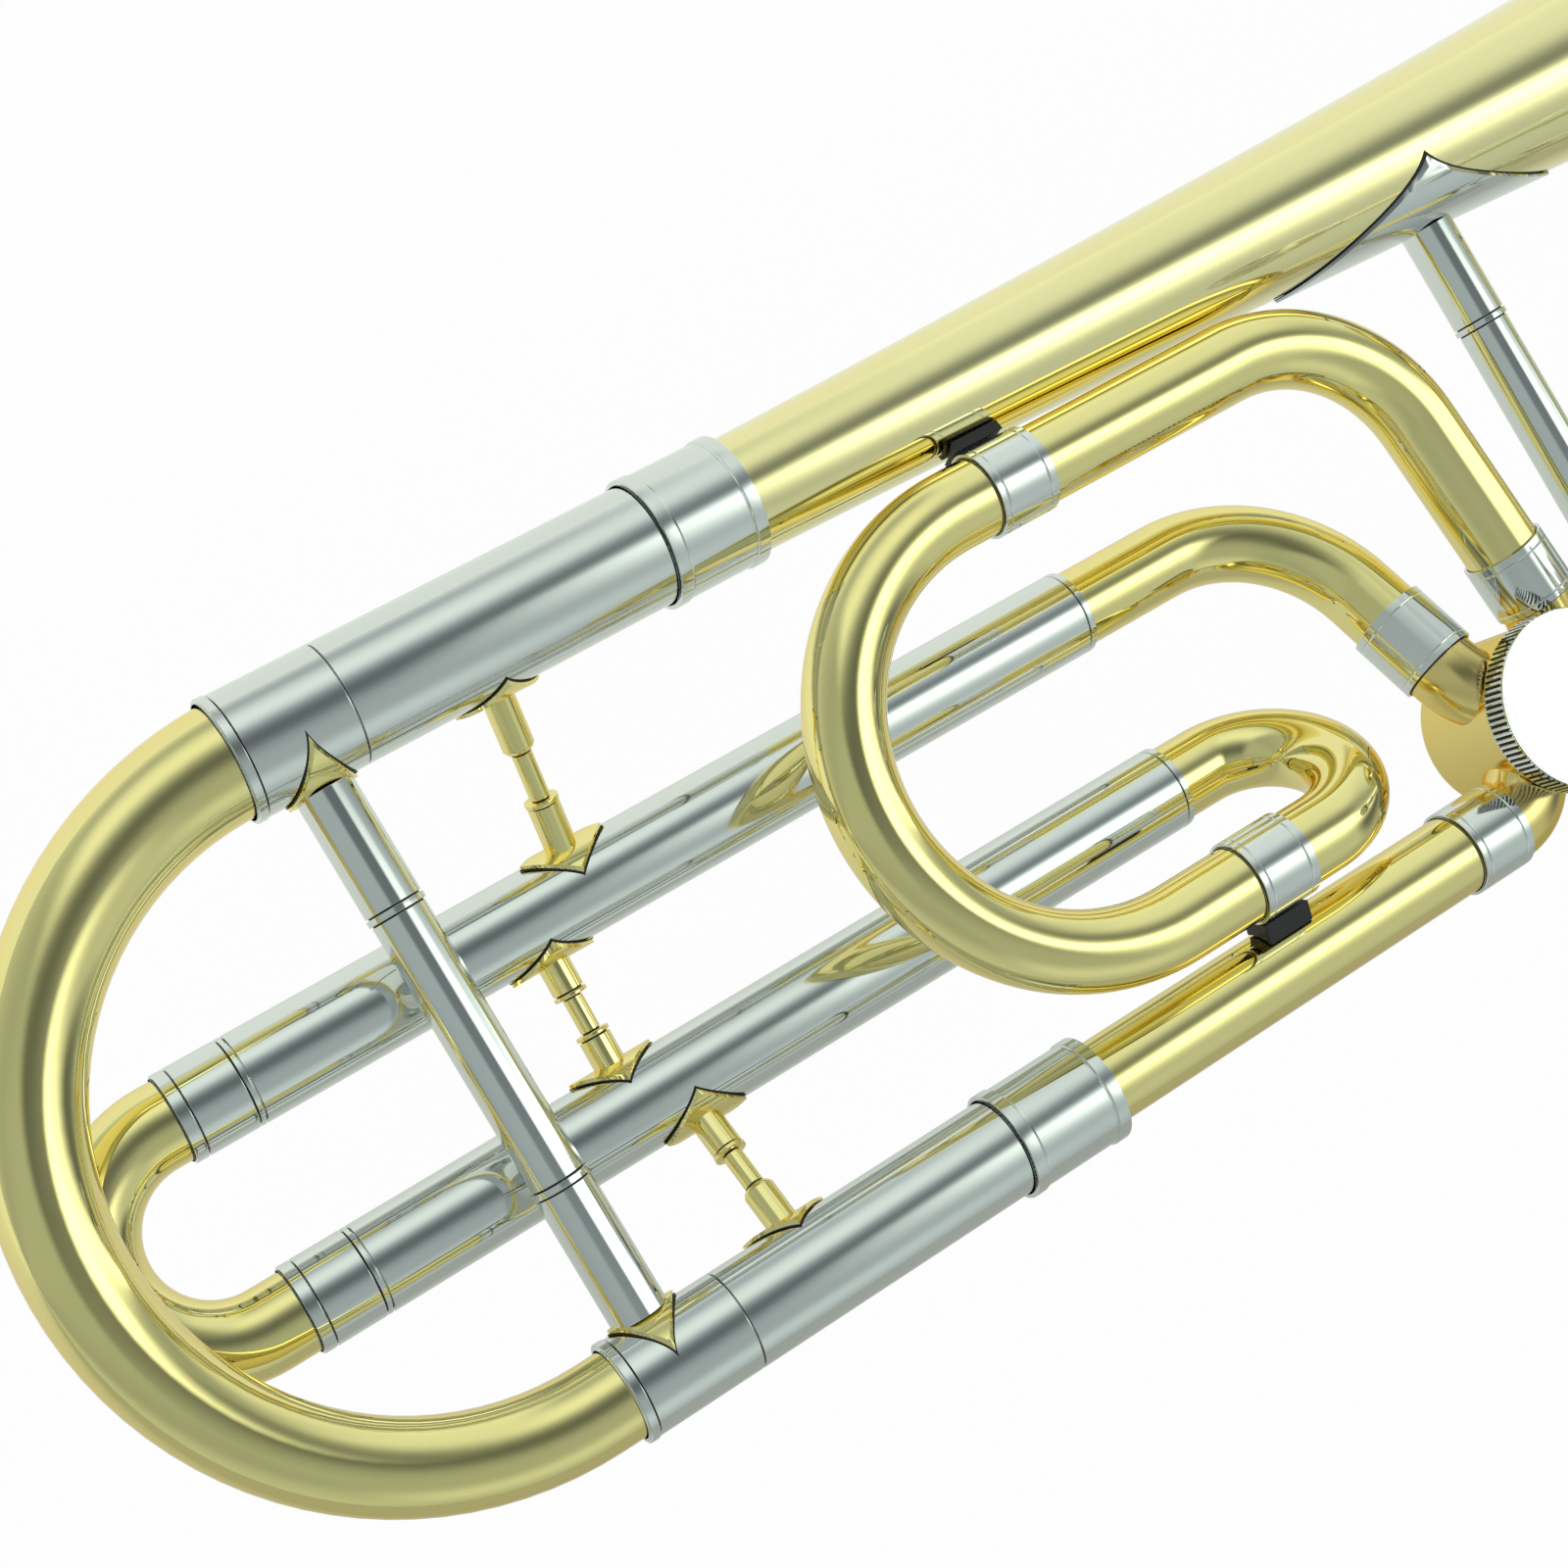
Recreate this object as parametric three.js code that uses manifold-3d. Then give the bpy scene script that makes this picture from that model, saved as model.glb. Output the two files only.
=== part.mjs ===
// A large-bore tenor trombone with an open-wrap F attachment and a rotary valve.
// Sizes are in millimetres. The origin is on the neck axis, in the plane where the hand slide
// joins the bell section. +X points forwards to the bell's mouth, +Y from the neck to the bell
// tail, and +Z up, towards the mouthpiece.
import * as THREE from "three";
import { mergeVertices } from "three/addons/utils/BufferGeometryUtils.js";
import Module from "manifold-3d";

const wasm = await Module();
wasm.setup();

// Gaps and cuts
const clearance = 0.3; // between two pieces that touch
const overrun = 2; // how far a cutting shape runs past what it cuts
const tubeSides = 16;
const bendSides = 12;
const smallSides = 12;

// Tubing: bores are diameters
const tubeWall = 0.5;
const fBore = 14.3;
const neckBore = 15.1;
const neckLegBore = 16.05;
const bellLegBore = 20.3;
const ferruleWall = 0.5;
const beadHeight = 0.35;
const beadLength = 2.6;

// Lines that the tubes run on
const legSpacing = 124.7; // neck axis to bell axis
const fUpperY = 76.9;
const fLowerY = 38.1;
const fDrop = 19.2; // F slide below the neck axis
const loopRise = 8.5; // F loop above the neck axis

// Main tuning slide: the rear end of its neck leg sets where everything at the rear lies
const neckLegStartX = -368.9;
const crookLead = 4.1; // from there back to the middle of the crook's bend
const bellLegSetback = 6.1; // from there back to the rear end of the bell leg
const bellLegFerruleLength = 21.2;
const neckLegFerruleLength = 23.2;
const crookNeckRadius = 8.2;
const crookSwell = 2.5; // power by which the crook widens towards the bell
const crookSocketDepth = 9;
const crookSteps = 7;
const bowSteps = 5;
const branchSteps = 6;
const loopSteps = 6;
const branchLap = 9; // lap of a branch in its outer tube
const legBeadLength = 1.4;
const tuningLegLength = 54; // inner leg inside the outer tube
const bellOuterTubeLength = 68;
const neckOuterTubeLength = 67;
const tuningBraceLead = 7.9; // from the neck leg's rear end forwards to the brace
const braceRodRadius = 4.7;
const braceSocketRadius = 5.3;
const braceRingRadius = 5.75;
const braceRingLength = 2.2;
const braceSocketLength = 24;

// Bell
const bellRimX = 161;
const bellRimRadius = 108;
const bellFlareReach = 24.3;
const bellFlarePowerShare = 0.776;
const bellWall = 0.6;
const rimWireRadius = 1.7;
const bellStations = 13;
const bellSides = 24;
const bellFerruleLength = 19.3;
const bellFerruleLap = 6; // lap over the outer tube

// Neck tube and gooseneck
const neckFerruleLength = 21.4;
const neckFerruleLap = 9;
const jointFerruleLength = 12.6; // ferrules that join two tubes of one size
const gooseneckLap = 6; // lap over the valve's knuckle
const gooseneckInsert = 8; // depth in the receiver
const gooseneckEndRadius = 7.4;
const rearBraceNeckRadius = 9;
const receiverLength = 36;
const receiverRearRadius = 9.6;
const receiverTaperLength = 5;
const receiverRadius = 11.4;
const receiverThreadRadius = 12.4;
const receiverThreadLength = 11;

// F tuning slide
const fBowSetback = 42.6; // from the neck leg's rear end back to the middle of the bow
const fUpperLegLead = 2.7; // from the bow's middle forwards to each leg's rear end
const fLowerLegLead = 5.6;
const fLegFerruleLength = 13.6;
const fSocketDepth = 6;
const fLegLength = 118;
const fOuterEndX = -213.7;

// F loop, branches and bends
const loopCentreX = -239.3;
const loopUpperFerruleX = -233.3;
const loopLowerFerruleX = -225;
const uBendStartX = -205;
const upperBranchCornerX = -145.5;
const upperBranchBend = 34.7;
const returnBranchCornerX = -164.4;
const returnBranchBend = 31;
const bellSpacerGap = 1.9;
const neckSpacerGap = 3.6;
const spacerLength = 10.5;
const spacerWidth = 7;

// Rotary valve
const valveX = -144;
const valveY = 15;
const casingRadius = 16.8;
const casingWall = 1;
const rotorTopLength = 9.2; // above the middle of the passages
const rotorBottomLength = 13.2;
const rotorWeb = 0.9; // metal left between the rotor's two passages
const casingFloor = 2;
const bearingPlateThickness = 2.4;
const capRadius = 17.8;
const capFloor = 1.6;
const capCrown = 1.6;
const crownRiseShare = 0.8;
const crownEdgeShare = 0.5;
const passageSteps = 6;
const knurlCount = 36;
const knurlDepth = 0.35;
const spindleRadius = 2.4;
const spindleTopLength = 2.2;
const knuckleCorner = 1.5; // from the casing wall out to the knuckle's bend
const returnKnuckleReach = 12.8; // from that bend out to the knuckle's end
const upperKnuckleReach = 12.2;
const knuckleBend = 11;
const knuckleSteps = 4;
const neckKnuckleStub = 6.6;

// Stop plate, stop arm and linkage, all under the valve
const stopPlateThickness = 1.4;
const stopPlateRadius = 13.4;
const bumperRadius = 2;
const bumperHeight = 3.6;
const bumperPathRadius = 10.4;
const stopArmThickness = 2.6;
const stopArmRadius = 8;
const stopFingerHalfWidth = 2;
const stopArmHubRadius = 4.8;
const stopArmTabRadius = 3.2;
const linkPinRadius = 1.1;
const linkEyeBore = 2.4;
const linkEyeRadius = 4.4;
const linkThickness = 2;
const linkRodRadius = 0.95;
const barEndSteps = 4;
const leverPivotX = -84;
const leverHubRadius = 4;
const leverBarRadius = 1.9;
const leverPaddleLength = 24;
const leverPaddleWidth = 13;
const leverPaddleReach = 30;
const leverPaddleDip = 5;
const leverPaddleThickness = 2;
const leverPinRadius = 1.5;
const bracketPlateThickness = 2.2;
const bracketPostRadius = 2.6;
const bracketHalfWidth = 5;
const bracketSeatHalfWidth = 6;
const bracketSeatHeight = 12;
const rotorSwing = 90;
const leverSwing = 24;

// Stays between the F slide and the main tubes
const bellStayLead = 41.8; // from the neck leg's rear end forwards to each stay
const centreStayLead = 29.2;
const neckStayLead = 40.7;
const stayRodRadius = 1.5;
const staySocketRadius = 2.95;
const stayRingRadius = 3.25;
const stayRingLength = 1.5;
const staySocketShare = 0.33;
const flangeThickness = 0.8;
const stayFlangeHalfLength = 8.2;
const stayFlangeWrapShare = 0.9;
const braceFlangeHalfLength = 6.2;
const braceFlangeWrapShare = 0.975;
const flangeWaistShare = 0.36;

// Bell braces
const rearBraceX = -110.7;
const frontBraceX = -24;
const bellFlangeHalfLength = 38;
const frontFlangeHalfLength = 30;
const bellFlangeWrapShare = 0.985;
const bellFlangeWaistShare = 0.2;
const flangeStations = 6;
const bellBraceSocketRadius = 7.2;
const bellBraceSocketShare = 0.22;
const neckSaddleLength = 10;
const neckBraceSocketLength = 14;

// Hand slide
const slideSpacing = 86; // lower tube axis to upper tube axis
const slideBore = 13.9;
const slideWall = 0.4;
const stockingLength = 120;
const stockingStep = 0.1;
const slideGap = 0.3;
const tenonLength = 27;
const tenonTaper = 0.6;
const tenonRadius = 10.1;
const tenonNeckRadius = 9;
const tenonCollarX = 0.3;
const tenonCollarLength = 2.4;
const tenonCollarRadius = 12.2;
const tenonSocketX = 9;
const barrelFloorX = 19;
const barrelTaperLength = 4;
const barrelStartX = 12;
const barrelLength = 38;
const barrelRadius = 11;
const innerTubeEndX = 646;
const outerTubeStartX = 41;
const outerTubeEndX = 650;
const lockNutLength = 15;
const lockNutRadius = 15;
const lockNutKnurls = 30;
const lockRingX = 41.5;
const lockRingLength = 8;
const lockRingRadius = 13.2;
const lockRingTabLength = 7;
const lockRingTabWidth = 7;
const innerBraceX = 30;
const innerBraceRadius = 5.5;
const innerCollarRadius = 12.4;
const innerCollarLength = 14;
const handleCollarLength = 22;
const handleCollarRadius = 9.9;
const outerBraceX = 72;
const outerBraceRadius = 5.5;
const mouthReceiverX = -22;
const mouthReceiverRadius = 8.9;
const mouthReceiverCollar = 7;
const mouthpieceReceiverRadius = 10.2;
const endFerruleLength = 24;
const endFerruleLap = 16;
const endBowBore = 13.9;
const endBowCentreX = 670;
const bumperCupDepth = 4;
const bumperBaseRadius = 7;
const bumperTipRadius = 5.5;
const bumperLength = 9;
const bumperCupWall = 1;
const waterKeyX = 664;
const nozzleHeight = 2.2;
const nozzleRadius = 3.2;
const nozzleBore = 1.9;
const keyPivotX = 650;
const keyPivotZ = -14.2;
const keyPinRadius = 0.9;
const keyHubRadius = 1.9;
const keyTipX = 630;
const keyArmThickness = 1.4;
const keyArmHalfWidth = 1.8;
const keyPadRadius = 4.2;
const keyPadThickness = 1.8;
const earOffset = 3.1;
const earThickness = 1.4;
const earHalfWidth = 2.2;

// Mouthpiece
const mouthpieceRimRadius = 19.6;
const mouthpieceCupRadius = 12.9;
const mouthpieceCupDepth = 24;
const mouthpieceThroatRadius = 3.4;
const mouthpieceBowlLength = 26;
const bowlNeckShare = 1.5;
const shankSwellShare = 1.05;
const bowlFootShare = 1.15;
const bowlWaistShare = 0.6;
const bowlWaistRadiusShare = 0.72;
const rimThickness = 5;
const rimRound = 1.5;
const rimNeckShare = 0.86;
const cupWallShare = 0.45;
const cupWaistShare = 0.8;
const throatLength = 5;
const mouthpieceTipWall = 0.7;
const mouthpieceLength = 82;
const mouthpieceShankRadius = 6.2;
const mouthpieceTipRadius = 5.6;
const mouthpieceInsert = 24;

// Sizes worked out from the ones above
const crookCentreX = neckLegStartX - crookLead;
const bellLegStartX = neckLegStartX - bellLegSetback;
const tuningBraceX = neckLegStartX + tuningBraceLead;
const fBowCentreX = neckLegStartX - fBowSetback;
const fUpperLegStartX = fBowCentreX + fUpperLegLead;
const fLowerLegStartX = fBowCentreX + fLowerLegLead;
const bellStayX = neckLegStartX + bellStayLead;
const centreStayX = neckLegStartX + centreStayLead;
const neckStayX = neckLegStartX + neckStayLead;
const fTubeRadius = fBore / 2 + tubeWall;
const fOuterBore = fTubeRadius + clearance;
const fOuterRadius = fOuterBore + tubeWall;
const fFerruleRadius = fTubeRadius + clearance + ferruleWall;
const neckTubeRadius = neckBore / 2 + tubeWall;
const neckLegRadius = neckLegBore / 2 + tubeWall;
const neckOuterBore = neckLegRadius + clearance;
const neckOuterRadius = neckOuterBore + tubeWall;
const bellLegRadius = bellLegBore / 2 + tubeWall;
const bellOuterBore = bellLegRadius + clearance;
const bellOuterRadius = bellOuterBore + tubeWall;
const bellLegFerruleEndX = bellLegStartX + bellLegFerruleLength;
const neckLegFerruleEndX = neckLegStartX + neckLegFerruleLength;
const bellOuterStartX = bellLegFerruleEndX + clearance;
const bellOuterEndX = bellOuterStartX + bellOuterTubeLength;
const neckOuterStartX = neckLegFerruleEndX + clearance;
const neckOuterEndX = neckOuterStartX + neckOuterTubeLength;
const bellTailStartX = bellOuterEndX + clearance;
const slideInnerRadius = slideBore / 2 + slideWall;
const slideOuterBore = slideInnerRadius + slideGap;
const slideOuterRadius = slideOuterBore + slideWall;
const casingBore = casingRadius - casingWall;
const rotorRadius = casingBore - clearance;
const passageRadius = (Math.SQRT2 - 1) * rotorRadius - rotorWeb / 2;
const casingTopZ = rotorTopLength + clearance + bearingPlateThickness;
const casingBottomZ = -rotorBottomLength - clearance - casingFloor;
const loopUpperY = legSpacing - sideStep(
  bellRadiusAt(loopUpperFerruleX) + fFerruleRadius + beadHeight + bellSpacerGap, loopRise);
const loopLowerY = sideStep(
  neckTubeRadius + fFerruleRadius + beadHeight + neckSpacerGap, loopRise);

function sideStep(distance, rise) {
  return Math.sqrt(distance * distance - rise * rise);
}

// The bell's outer radius at a place on its axis: a flare that opens by a power law
function bellRadiusAt(x) {
  const share = bellFlareReach / (bellRimX - x + bellFlareReach);
  return bellRimRadius * Math.pow(share, bellFlarePowerShare);
}

// Materials
const lacqueredBrass = finish("lacquered_brass", 0xd8c873, 0.18);
const goldBrass = finish("gold_brass", 0xcdb568, 0.2);
const nickelSilver = finish("nickel_silver", 0xc9cdc8, 0.2);
const chromedBrass = finish("chromed_brass", 0xd6dadd, 0.1);
const steel = finish("steel", 0x9aa0a4, 0.35);
const silverPlate = finish("silver_plate", 0xdcdcd8, 0.12);
const blackRubber = new THREE.MeshStandardMaterial({
  name: "black_rubber", color: 0x17171a, roughness: 0.7, metalness: 0 });

function finish(name, color, roughness) {
  return new THREE.MeshStandardMaterial({ name, color, roughness, metalness: 1 });
}

const trombone = new THREE.Group();

function place(name, geometry, material, x = 0, y = 0, z = 0) {
  const mesh = new THREE.Mesh(geometry, material);
  mesh.name = name;
  mesh.position.set(x, y, z);
  trombone.add(mesh);
  return mesh;
}

// Shape making

// Six times the volume that a closed mesh holds, negative if its faces point inwards
function signedVolume(position, index) {
  const a = new THREE.Vector3();
  const b = new THREE.Vector3();
  const c = new THREE.Vector3();
  let sum = 0;
  for (let i = 0; i < index.length; i += 3) {
    a.fromBufferAttribute(position, index[i]);
    b.fromBufferAttribute(position, index[i + 1]);
    c.fromBufferAttribute(position, index[i + 2]);
    sum += a.dot(b.cross(c));
  }
  return sum;
}

// Merges a geometry's shared points, drops its empty triangles and turns its faces outwards
function closed(geometry) {
  const bare = geometry.clone();
  bare.deleteAttribute("normal");
  bare.deleteAttribute("uv");
  const merged = mergeVertices(bare);
  const from = merged.index.array;
  const index = [];
  for (let i = 0; i < from.length; i += 3) {
    const [a, b, c] = [from[i], from[i + 1], from[i + 2]];
    if (a !== b && b !== c && c !== a) index.push(a, b, c);
  }
  if (signedVolume(merged.attributes.position, index) < 0) index.reverse();
  merged.setIndex(index);
  merged.computeVertexNormals();
  return merged;
}

function solid(geometry) {
  const mesh = closed(geometry);
  return new wasm.Manifold(new wasm.Mesh({
    numProp: 3,
    vertProperties: new Float32Array(mesh.attributes.position.array),
    triVerts: new Uint32Array(mesh.index.array),
  }));
}

function shapeOf(body) {
  const mesh = body.getMesh();
  const geometry = new THREE.BufferGeometry();
  geometry.setAttribute("position", new THREE.BufferAttribute(mesh.vertProperties, mesh.numProp));
  geometry.setIndex(new THREE.BufferAttribute(mesh.triVerts, 1));
  geometry.computeVertexNormals();
  return geometry;
}

// A turned piece along X from a closed outline of [x, radius] points
function turned(outline, sides = tubeSides) {
  const points = outline.map(([x, radius]) => new THREE.Vector2(radius, x));
  points.push(points[0].clone());
  const lathe = new THREE.LatheGeometry(points, sides);
  lathe.rotateZ(-Math.PI / 2);
  return closed(lathe);
}

function sleeve(x0, x1, bore, radius, sides = tubeSides) {
  return turned([[x0, bore], [x1, bore], [x1, radius], [x0, radius]], sides);
}

function rod(x0, x1, radius, sides = smallSides) {
  return turned([[x0, 0], [x1, 0], [x1, radius], [x0, radius]], sides);
}

// A rod along Z
function upright(z0, z1, radius, sides = tubeSides) {
  const geometry = rod(z0, z1, radius, sides);
  geometry.rotateY(-Math.PI / 2);
  return geometry;
}

// A sleeve with a raised bead at each end
function beadedSleeve(length, bore, radius) {
  const bead = radius + beadHeight;
  const end = length - beadLength;
  return turned([
    [0, bore], [length, bore], [length, bead], [end, bead],
    [end, radius], [beadLength, radius], [beadLength, bead], [0, bead],
  ]);
}

// A curve through set stations, which lets a swept tube spend its steps only in its bends
class Route extends THREE.Curve {
  constructor(stations) {
    super();
    this.stations = stations;
  }

  get steps() {
    return this.stations.length - 1;
  }

  getPointAt(share, target = new THREE.Vector3()) {
    const at = Math.round(share * this.steps);
    return target.copy(this.stations[at]);
  }

  getTangentAt(share, target = new THREE.Vector3()) {
    const at = Math.round(share * this.steps);
    const ahead = this.stations[Math.min(at + 1, this.steps)].clone();
    const behind = this.stations[Math.max(at - 1, 0)].clone();
    const here = this.stations[at];
    const out = ahead.sub(here);
    const back = here.clone().sub(behind);
    if (out.lengthSq() > 0) out.normalize();
    if (back.lengthSq() > 0) back.normalize();
    return target.copy(out.add(back)).normalize();
  }
}

// Stations of a route along straight lines whose corners are rounded to a radius
function roundedRoute(corners, radius, steps) {
  const stations = [corners[0].clone()];
  for (let i = 1; i < corners.length - 1; i++) {
    const corner = corners[i];
    const back = corners[i - 1].clone().sub(corner).normalize();
    const out = corners[i + 1].clone().sub(corner).normalize();
    const turn = Math.PI - back.angleTo(out);
    const lead = radius * Math.tan(turn / 2);
    const middle = back.clone().add(out).normalize();
    const centre = corner.clone().addScaledVector(middle, radius / Math.cos(turn / 2));
    const first = corner.clone().addScaledVector(back, lead).sub(centre);
    const axis = back.clone().cross(out).normalize();
    const last = stations[stations.length - 1];
    for (let k = 0; k <= steps; k++) {
      const spoke = first.clone().applyAxisAngle(axis, -turn * k / steps);
      const station = centre.clone().add(spoke);
      if (k > 0 || station.distanceTo(last) > clearance) stations.push(station);
    }
  }
  const end = corners[corners.length - 1];
  if (end.distanceTo(stations[stations.length - 1]) > clearance) stations.push(end.clone());
  return new Route(stations);
}

// A tube of one size along a route
function sweptTube(route, bore, radius, sides = bendSides) {
  const ring = new THREE.Shape();
  ring.absarc(0, 0, radius, 0, 2 * Math.PI);
  if (bore > 0) {
    const hole = new THREE.Path();
    hole.absarc(0, 0, bore, 0, 2 * Math.PI, true);
    ring.holes.push(hole);
  }
  return closed(new THREE.ExtrudeGeometry(ring, {
    steps: route.steps, curveSegments: sides / 2, extrudePath: route }));
}

// A tube whose radius changes along a flat route by a power of the way gone, ring by ring
function taperedTube(route, wall, startRadius, endRadius, swell, sides = bendSides) {
  const frames = route.computeFrenetFrames(route.steps, false);
  const lengths = [0];
  for (let i = 1; i <= route.steps; i++) {
    lengths.push(lengths[i - 1] + route.stations[i].distanceTo(route.stations[i - 1]));
  }
  const points = [];
  const ringAt = (i, radius) => {
    for (let k = 0; k < sides; k++) {
      const turn = 2 * Math.PI * k / sides;
      const point = route.stations[i].clone();
      point.addScaledVector(frames.normals[i], radius * Math.cos(turn));
      point.addScaledVector(frames.binormals[i], radius * Math.sin(turn));
      points.push(point.x, point.y, point.z);
    }
  };
  const radiusAt = (i) => {
    const share = lengths[i] / lengths[route.steps];
    return startRadius + (endRadius - startRadius) * Math.pow(share, swell);
  };
  for (let i = 0; i <= route.steps; i++) ringAt(i, radiusAt(i));
  for (let i = route.steps; i >= 0; i--) ringAt(i, radiusAt(i) - wall);
  const rings = 2 * (route.steps + 1);
  const index = [];
  for (let i = 0; i < rings; i++) {
    for (let k = 0; k < sides; k++) {
      const a = i * sides + k;
      const b = i * sides + (k + 1) % sides;
      const c = ((i + 1) % rings) * sides + (k + 1) % sides;
      const d = ((i + 1) % rings) * sides + k;
      index.push(a, b, c, a, c, d);
    }
  }
  const geometry = new THREE.BufferGeometry();
  geometry.setAttribute("position", new THREE.Float32BufferAttribute(points, 3));
  geometry.setIndex(index);
  return closed(geometry);
}

function at(x, y = 0, z = 0) {
  return new THREE.Vector3(x, y, z);
}

// A four-pointed plate with drawn-in sides, laid round a tube that runs along X. It faces +Y,
// starts just clear of the tube and reaches round it by a share of the tube's half width.
function saddle(tubeRadius, halfLength, wrapShare, thickness = flangeThickness) {
  const inner = tubeRadius + clearance;
  const outer = inner + thickness;
  const reach = inner * wrapShare;
  const outline = new THREE.Shape();
  outline.moveTo(halfLength, 0);
  const waistX = halfLength * flangeWaistShare;
  const waistZ = reach * flangeWaistShare;
  outline.quadraticCurveTo(waistX, waistZ, 0, reach);
  outline.quadraticCurveTo(-waistX, waistZ, -halfLength, 0);
  outline.quadraticCurveTo(-waistX, -waistZ, 0, -reach);
  outline.quadraticCurveTo(waistX, -waistZ, halfLength, 0);
  const stamp = new THREE.ExtrudeGeometry(outline, {
    depth: outer + overrun, bevelEnabled: false, curveSegments: 5 });
  stamp.rotateX(-Math.PI / 2);
  const length = halfLength + overrun;
  const shell = solid(sleeve(-length, length, inner, outer, 2 * smallSides));
  return shell.intersect(solid(stamp));
}

// A rod with a socket and a ring at each end, standing on +Y between two heights
function strut({ from, to, rodRadius, socketRadius, ringRadius, ringLength, socket }) {
  const foot = from + socket;
  const head = to - socket;
  const geometry = turned([
    [from, 0], [to, 0], [to, socketRadius], [head + ringLength, socketRadius],
    [head + ringLength, ringRadius], [head, ringRadius], [head, rodRadius],
    [foot, rodRadius], [foot, ringRadius], [foot - ringLength, ringRadius],
    [foot - ringLength, socketRadius], [from, socketRadius],
  ], smallSides);
  geometry.rotateZ(Math.PI / 2);
  return geometry;
}

// A stay between two tubes that run along X: a saddle on each and a socketed rod between them
function stay(from, fromRadius, to, toRadius) {
  const span = to.clone().sub(from);
  const distance = span.length();
  const halfShell = flangeThickness / 2;
  const start = fromRadius + clearance + halfShell;
  const end = distance - toRadius - clearance - halfShell;
  const middle = solid(strut({
    from: start - halfShell, to: end + halfShell, rodRadius: stayRodRadius,
    socketRadius: staySocketRadius, ringRadius: stayRingRadius, ringLength: stayRingLength,
    socket: (end - start) * staySocketShare }));
  const bore = (radius, y) => {
    const length = stayRingRadius + overrun;
    const geometry = rod(-length, length, radius + clearance, 2 * smallSides);
    geometry.translate(0, y, 0);
    return solid(geometry);
  };
  const near = saddle(fromRadius, stayFlangeHalfLength, stayFlangeWrapShare);
  const far = saddle(toRadius, stayFlangeHalfLength, stayFlangeWrapShare)
    .rotate([180, 0, 0]).translate([0, distance, 0]);
  const body = middle.add(near).add(far)
    .subtract(bore(fromRadius, 0)).subtract(bore(toRadius, distance));
  const geometry = shapeOf(body);
  geometry.rotateX(Math.atan2(span.z, span.y));
  return geometry;
}

// Main tuning slide

// A slide's inner leg with the ferrule that takes the crook: the ferrule is as wide as the
// outer tube that it closes on
function slideLeg({
  ferruleLength, socketDepth, legLength, legBore, legRadius, outerRadius, crookRadius,
}) {
  const socket = crookRadius + clearance;
  const bead = outerRadius + beadHeight;
  const end = ferruleLength + legLength;
  return turned([
    [0, socket], [socketDepth, socket], [socketDepth, legBore / 2], [end, legBore / 2],
    [end, legRadius], [ferruleLength, legRadius], [ferruleLength, outerRadius],
    [legBeadLength, outerRadius], [legBeadLength, bead], [0, bead],
  ]);
}

place("tuning_bell_leg", slideLeg({
  ferruleLength: bellLegFerruleLength, socketDepth: crookSocketDepth,
  legLength: tuningLegLength, legBore: bellLegBore, legRadius: bellLegRadius,
  outerRadius: bellOuterRadius, crookRadius: bellLegRadius,
}), nickelSilver, bellLegStartX, legSpacing);
place("tuning_neck_leg", slideLeg({
  ferruleLength: neckLegFerruleLength, socketDepth: crookSocketDepth,
  legLength: tuningLegLength, legBore: neckLegBore, legRadius: neckLegRadius,
  outerRadius: neckOuterRadius, crookRadius: crookNeckRadius,
}), nickelSilver, neckLegStartX);

const crookEnd = crookSocketDepth - clearance;
const crookBend = legSpacing / 2;
const crookRoute = roundedRoute([
  at(neckLegStartX + crookEnd), at(crookCentreX - crookBend),
  at(crookCentreX - crookBend, legSpacing), at(bellLegStartX + crookEnd, legSpacing),
], crookBend, crookSteps);
place("tuning_crook", taperedTube(
  crookRoute, tubeWall, crookNeckRadius, bellLegRadius, crookSwell), lacqueredBrass);

// The brace of the tuning slide: a saddle on each ferrule and a rod in two sockets
const bellFlangeTop = bellOuterRadius + clearance + flangeThickness;
const neckFlangeTop = neckOuterRadius + clearance + flangeThickness;
place("tuning_brace_bell_flange", shapeOf(
  saddle(bellOuterRadius, braceFlangeHalfLength, braceFlangeWrapShare).rotate([180, 0, 0])),
lacqueredBrass, tuningBraceX, legSpacing);
place("tuning_brace_neck_flange", shapeOf(
  saddle(neckOuterRadius, braceFlangeHalfLength, braceFlangeWrapShare)),
lacqueredBrass, tuningBraceX);

function tuningBrace() {
  const bar = solid(strut({
    from: neckOuterRadius, to: legSpacing - bellOuterRadius, rodRadius: braceRodRadius,
    socketRadius: braceSocketRadius, ringRadius: braceRingRadius,
    ringLength: braceRingLength, socket: braceSocketLength }));
  const length = braceSocketRadius + overrun;
  const neckCut = rod(-length, length, neckFlangeTop + clearance, 2 * smallSides);
  const bellCut = rod(-length, length, bellFlangeTop + clearance, 2 * smallSides);
  bellCut.translate(0, legSpacing, 0);
  return shapeOf(bar.subtract(solid(neckCut)).subtract(solid(bellCut)));
}
place("tuning_brace", tuningBrace(), nickelSilver, tuningBraceX);

// Outer tubes that the main tuning slide runs in
place("bell_side_slide_tube", sleeve(0, bellOuterTubeLength, bellOuterBore, bellOuterRadius),
  nickelSilver, bellOuterStartX, legSpacing);
place("neck_side_slide_tube", sleeve(0, neckOuterTubeLength, neckOuterBore, neckOuterRadius),
  nickelSilver, neckOuterStartX);

// Bell

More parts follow.
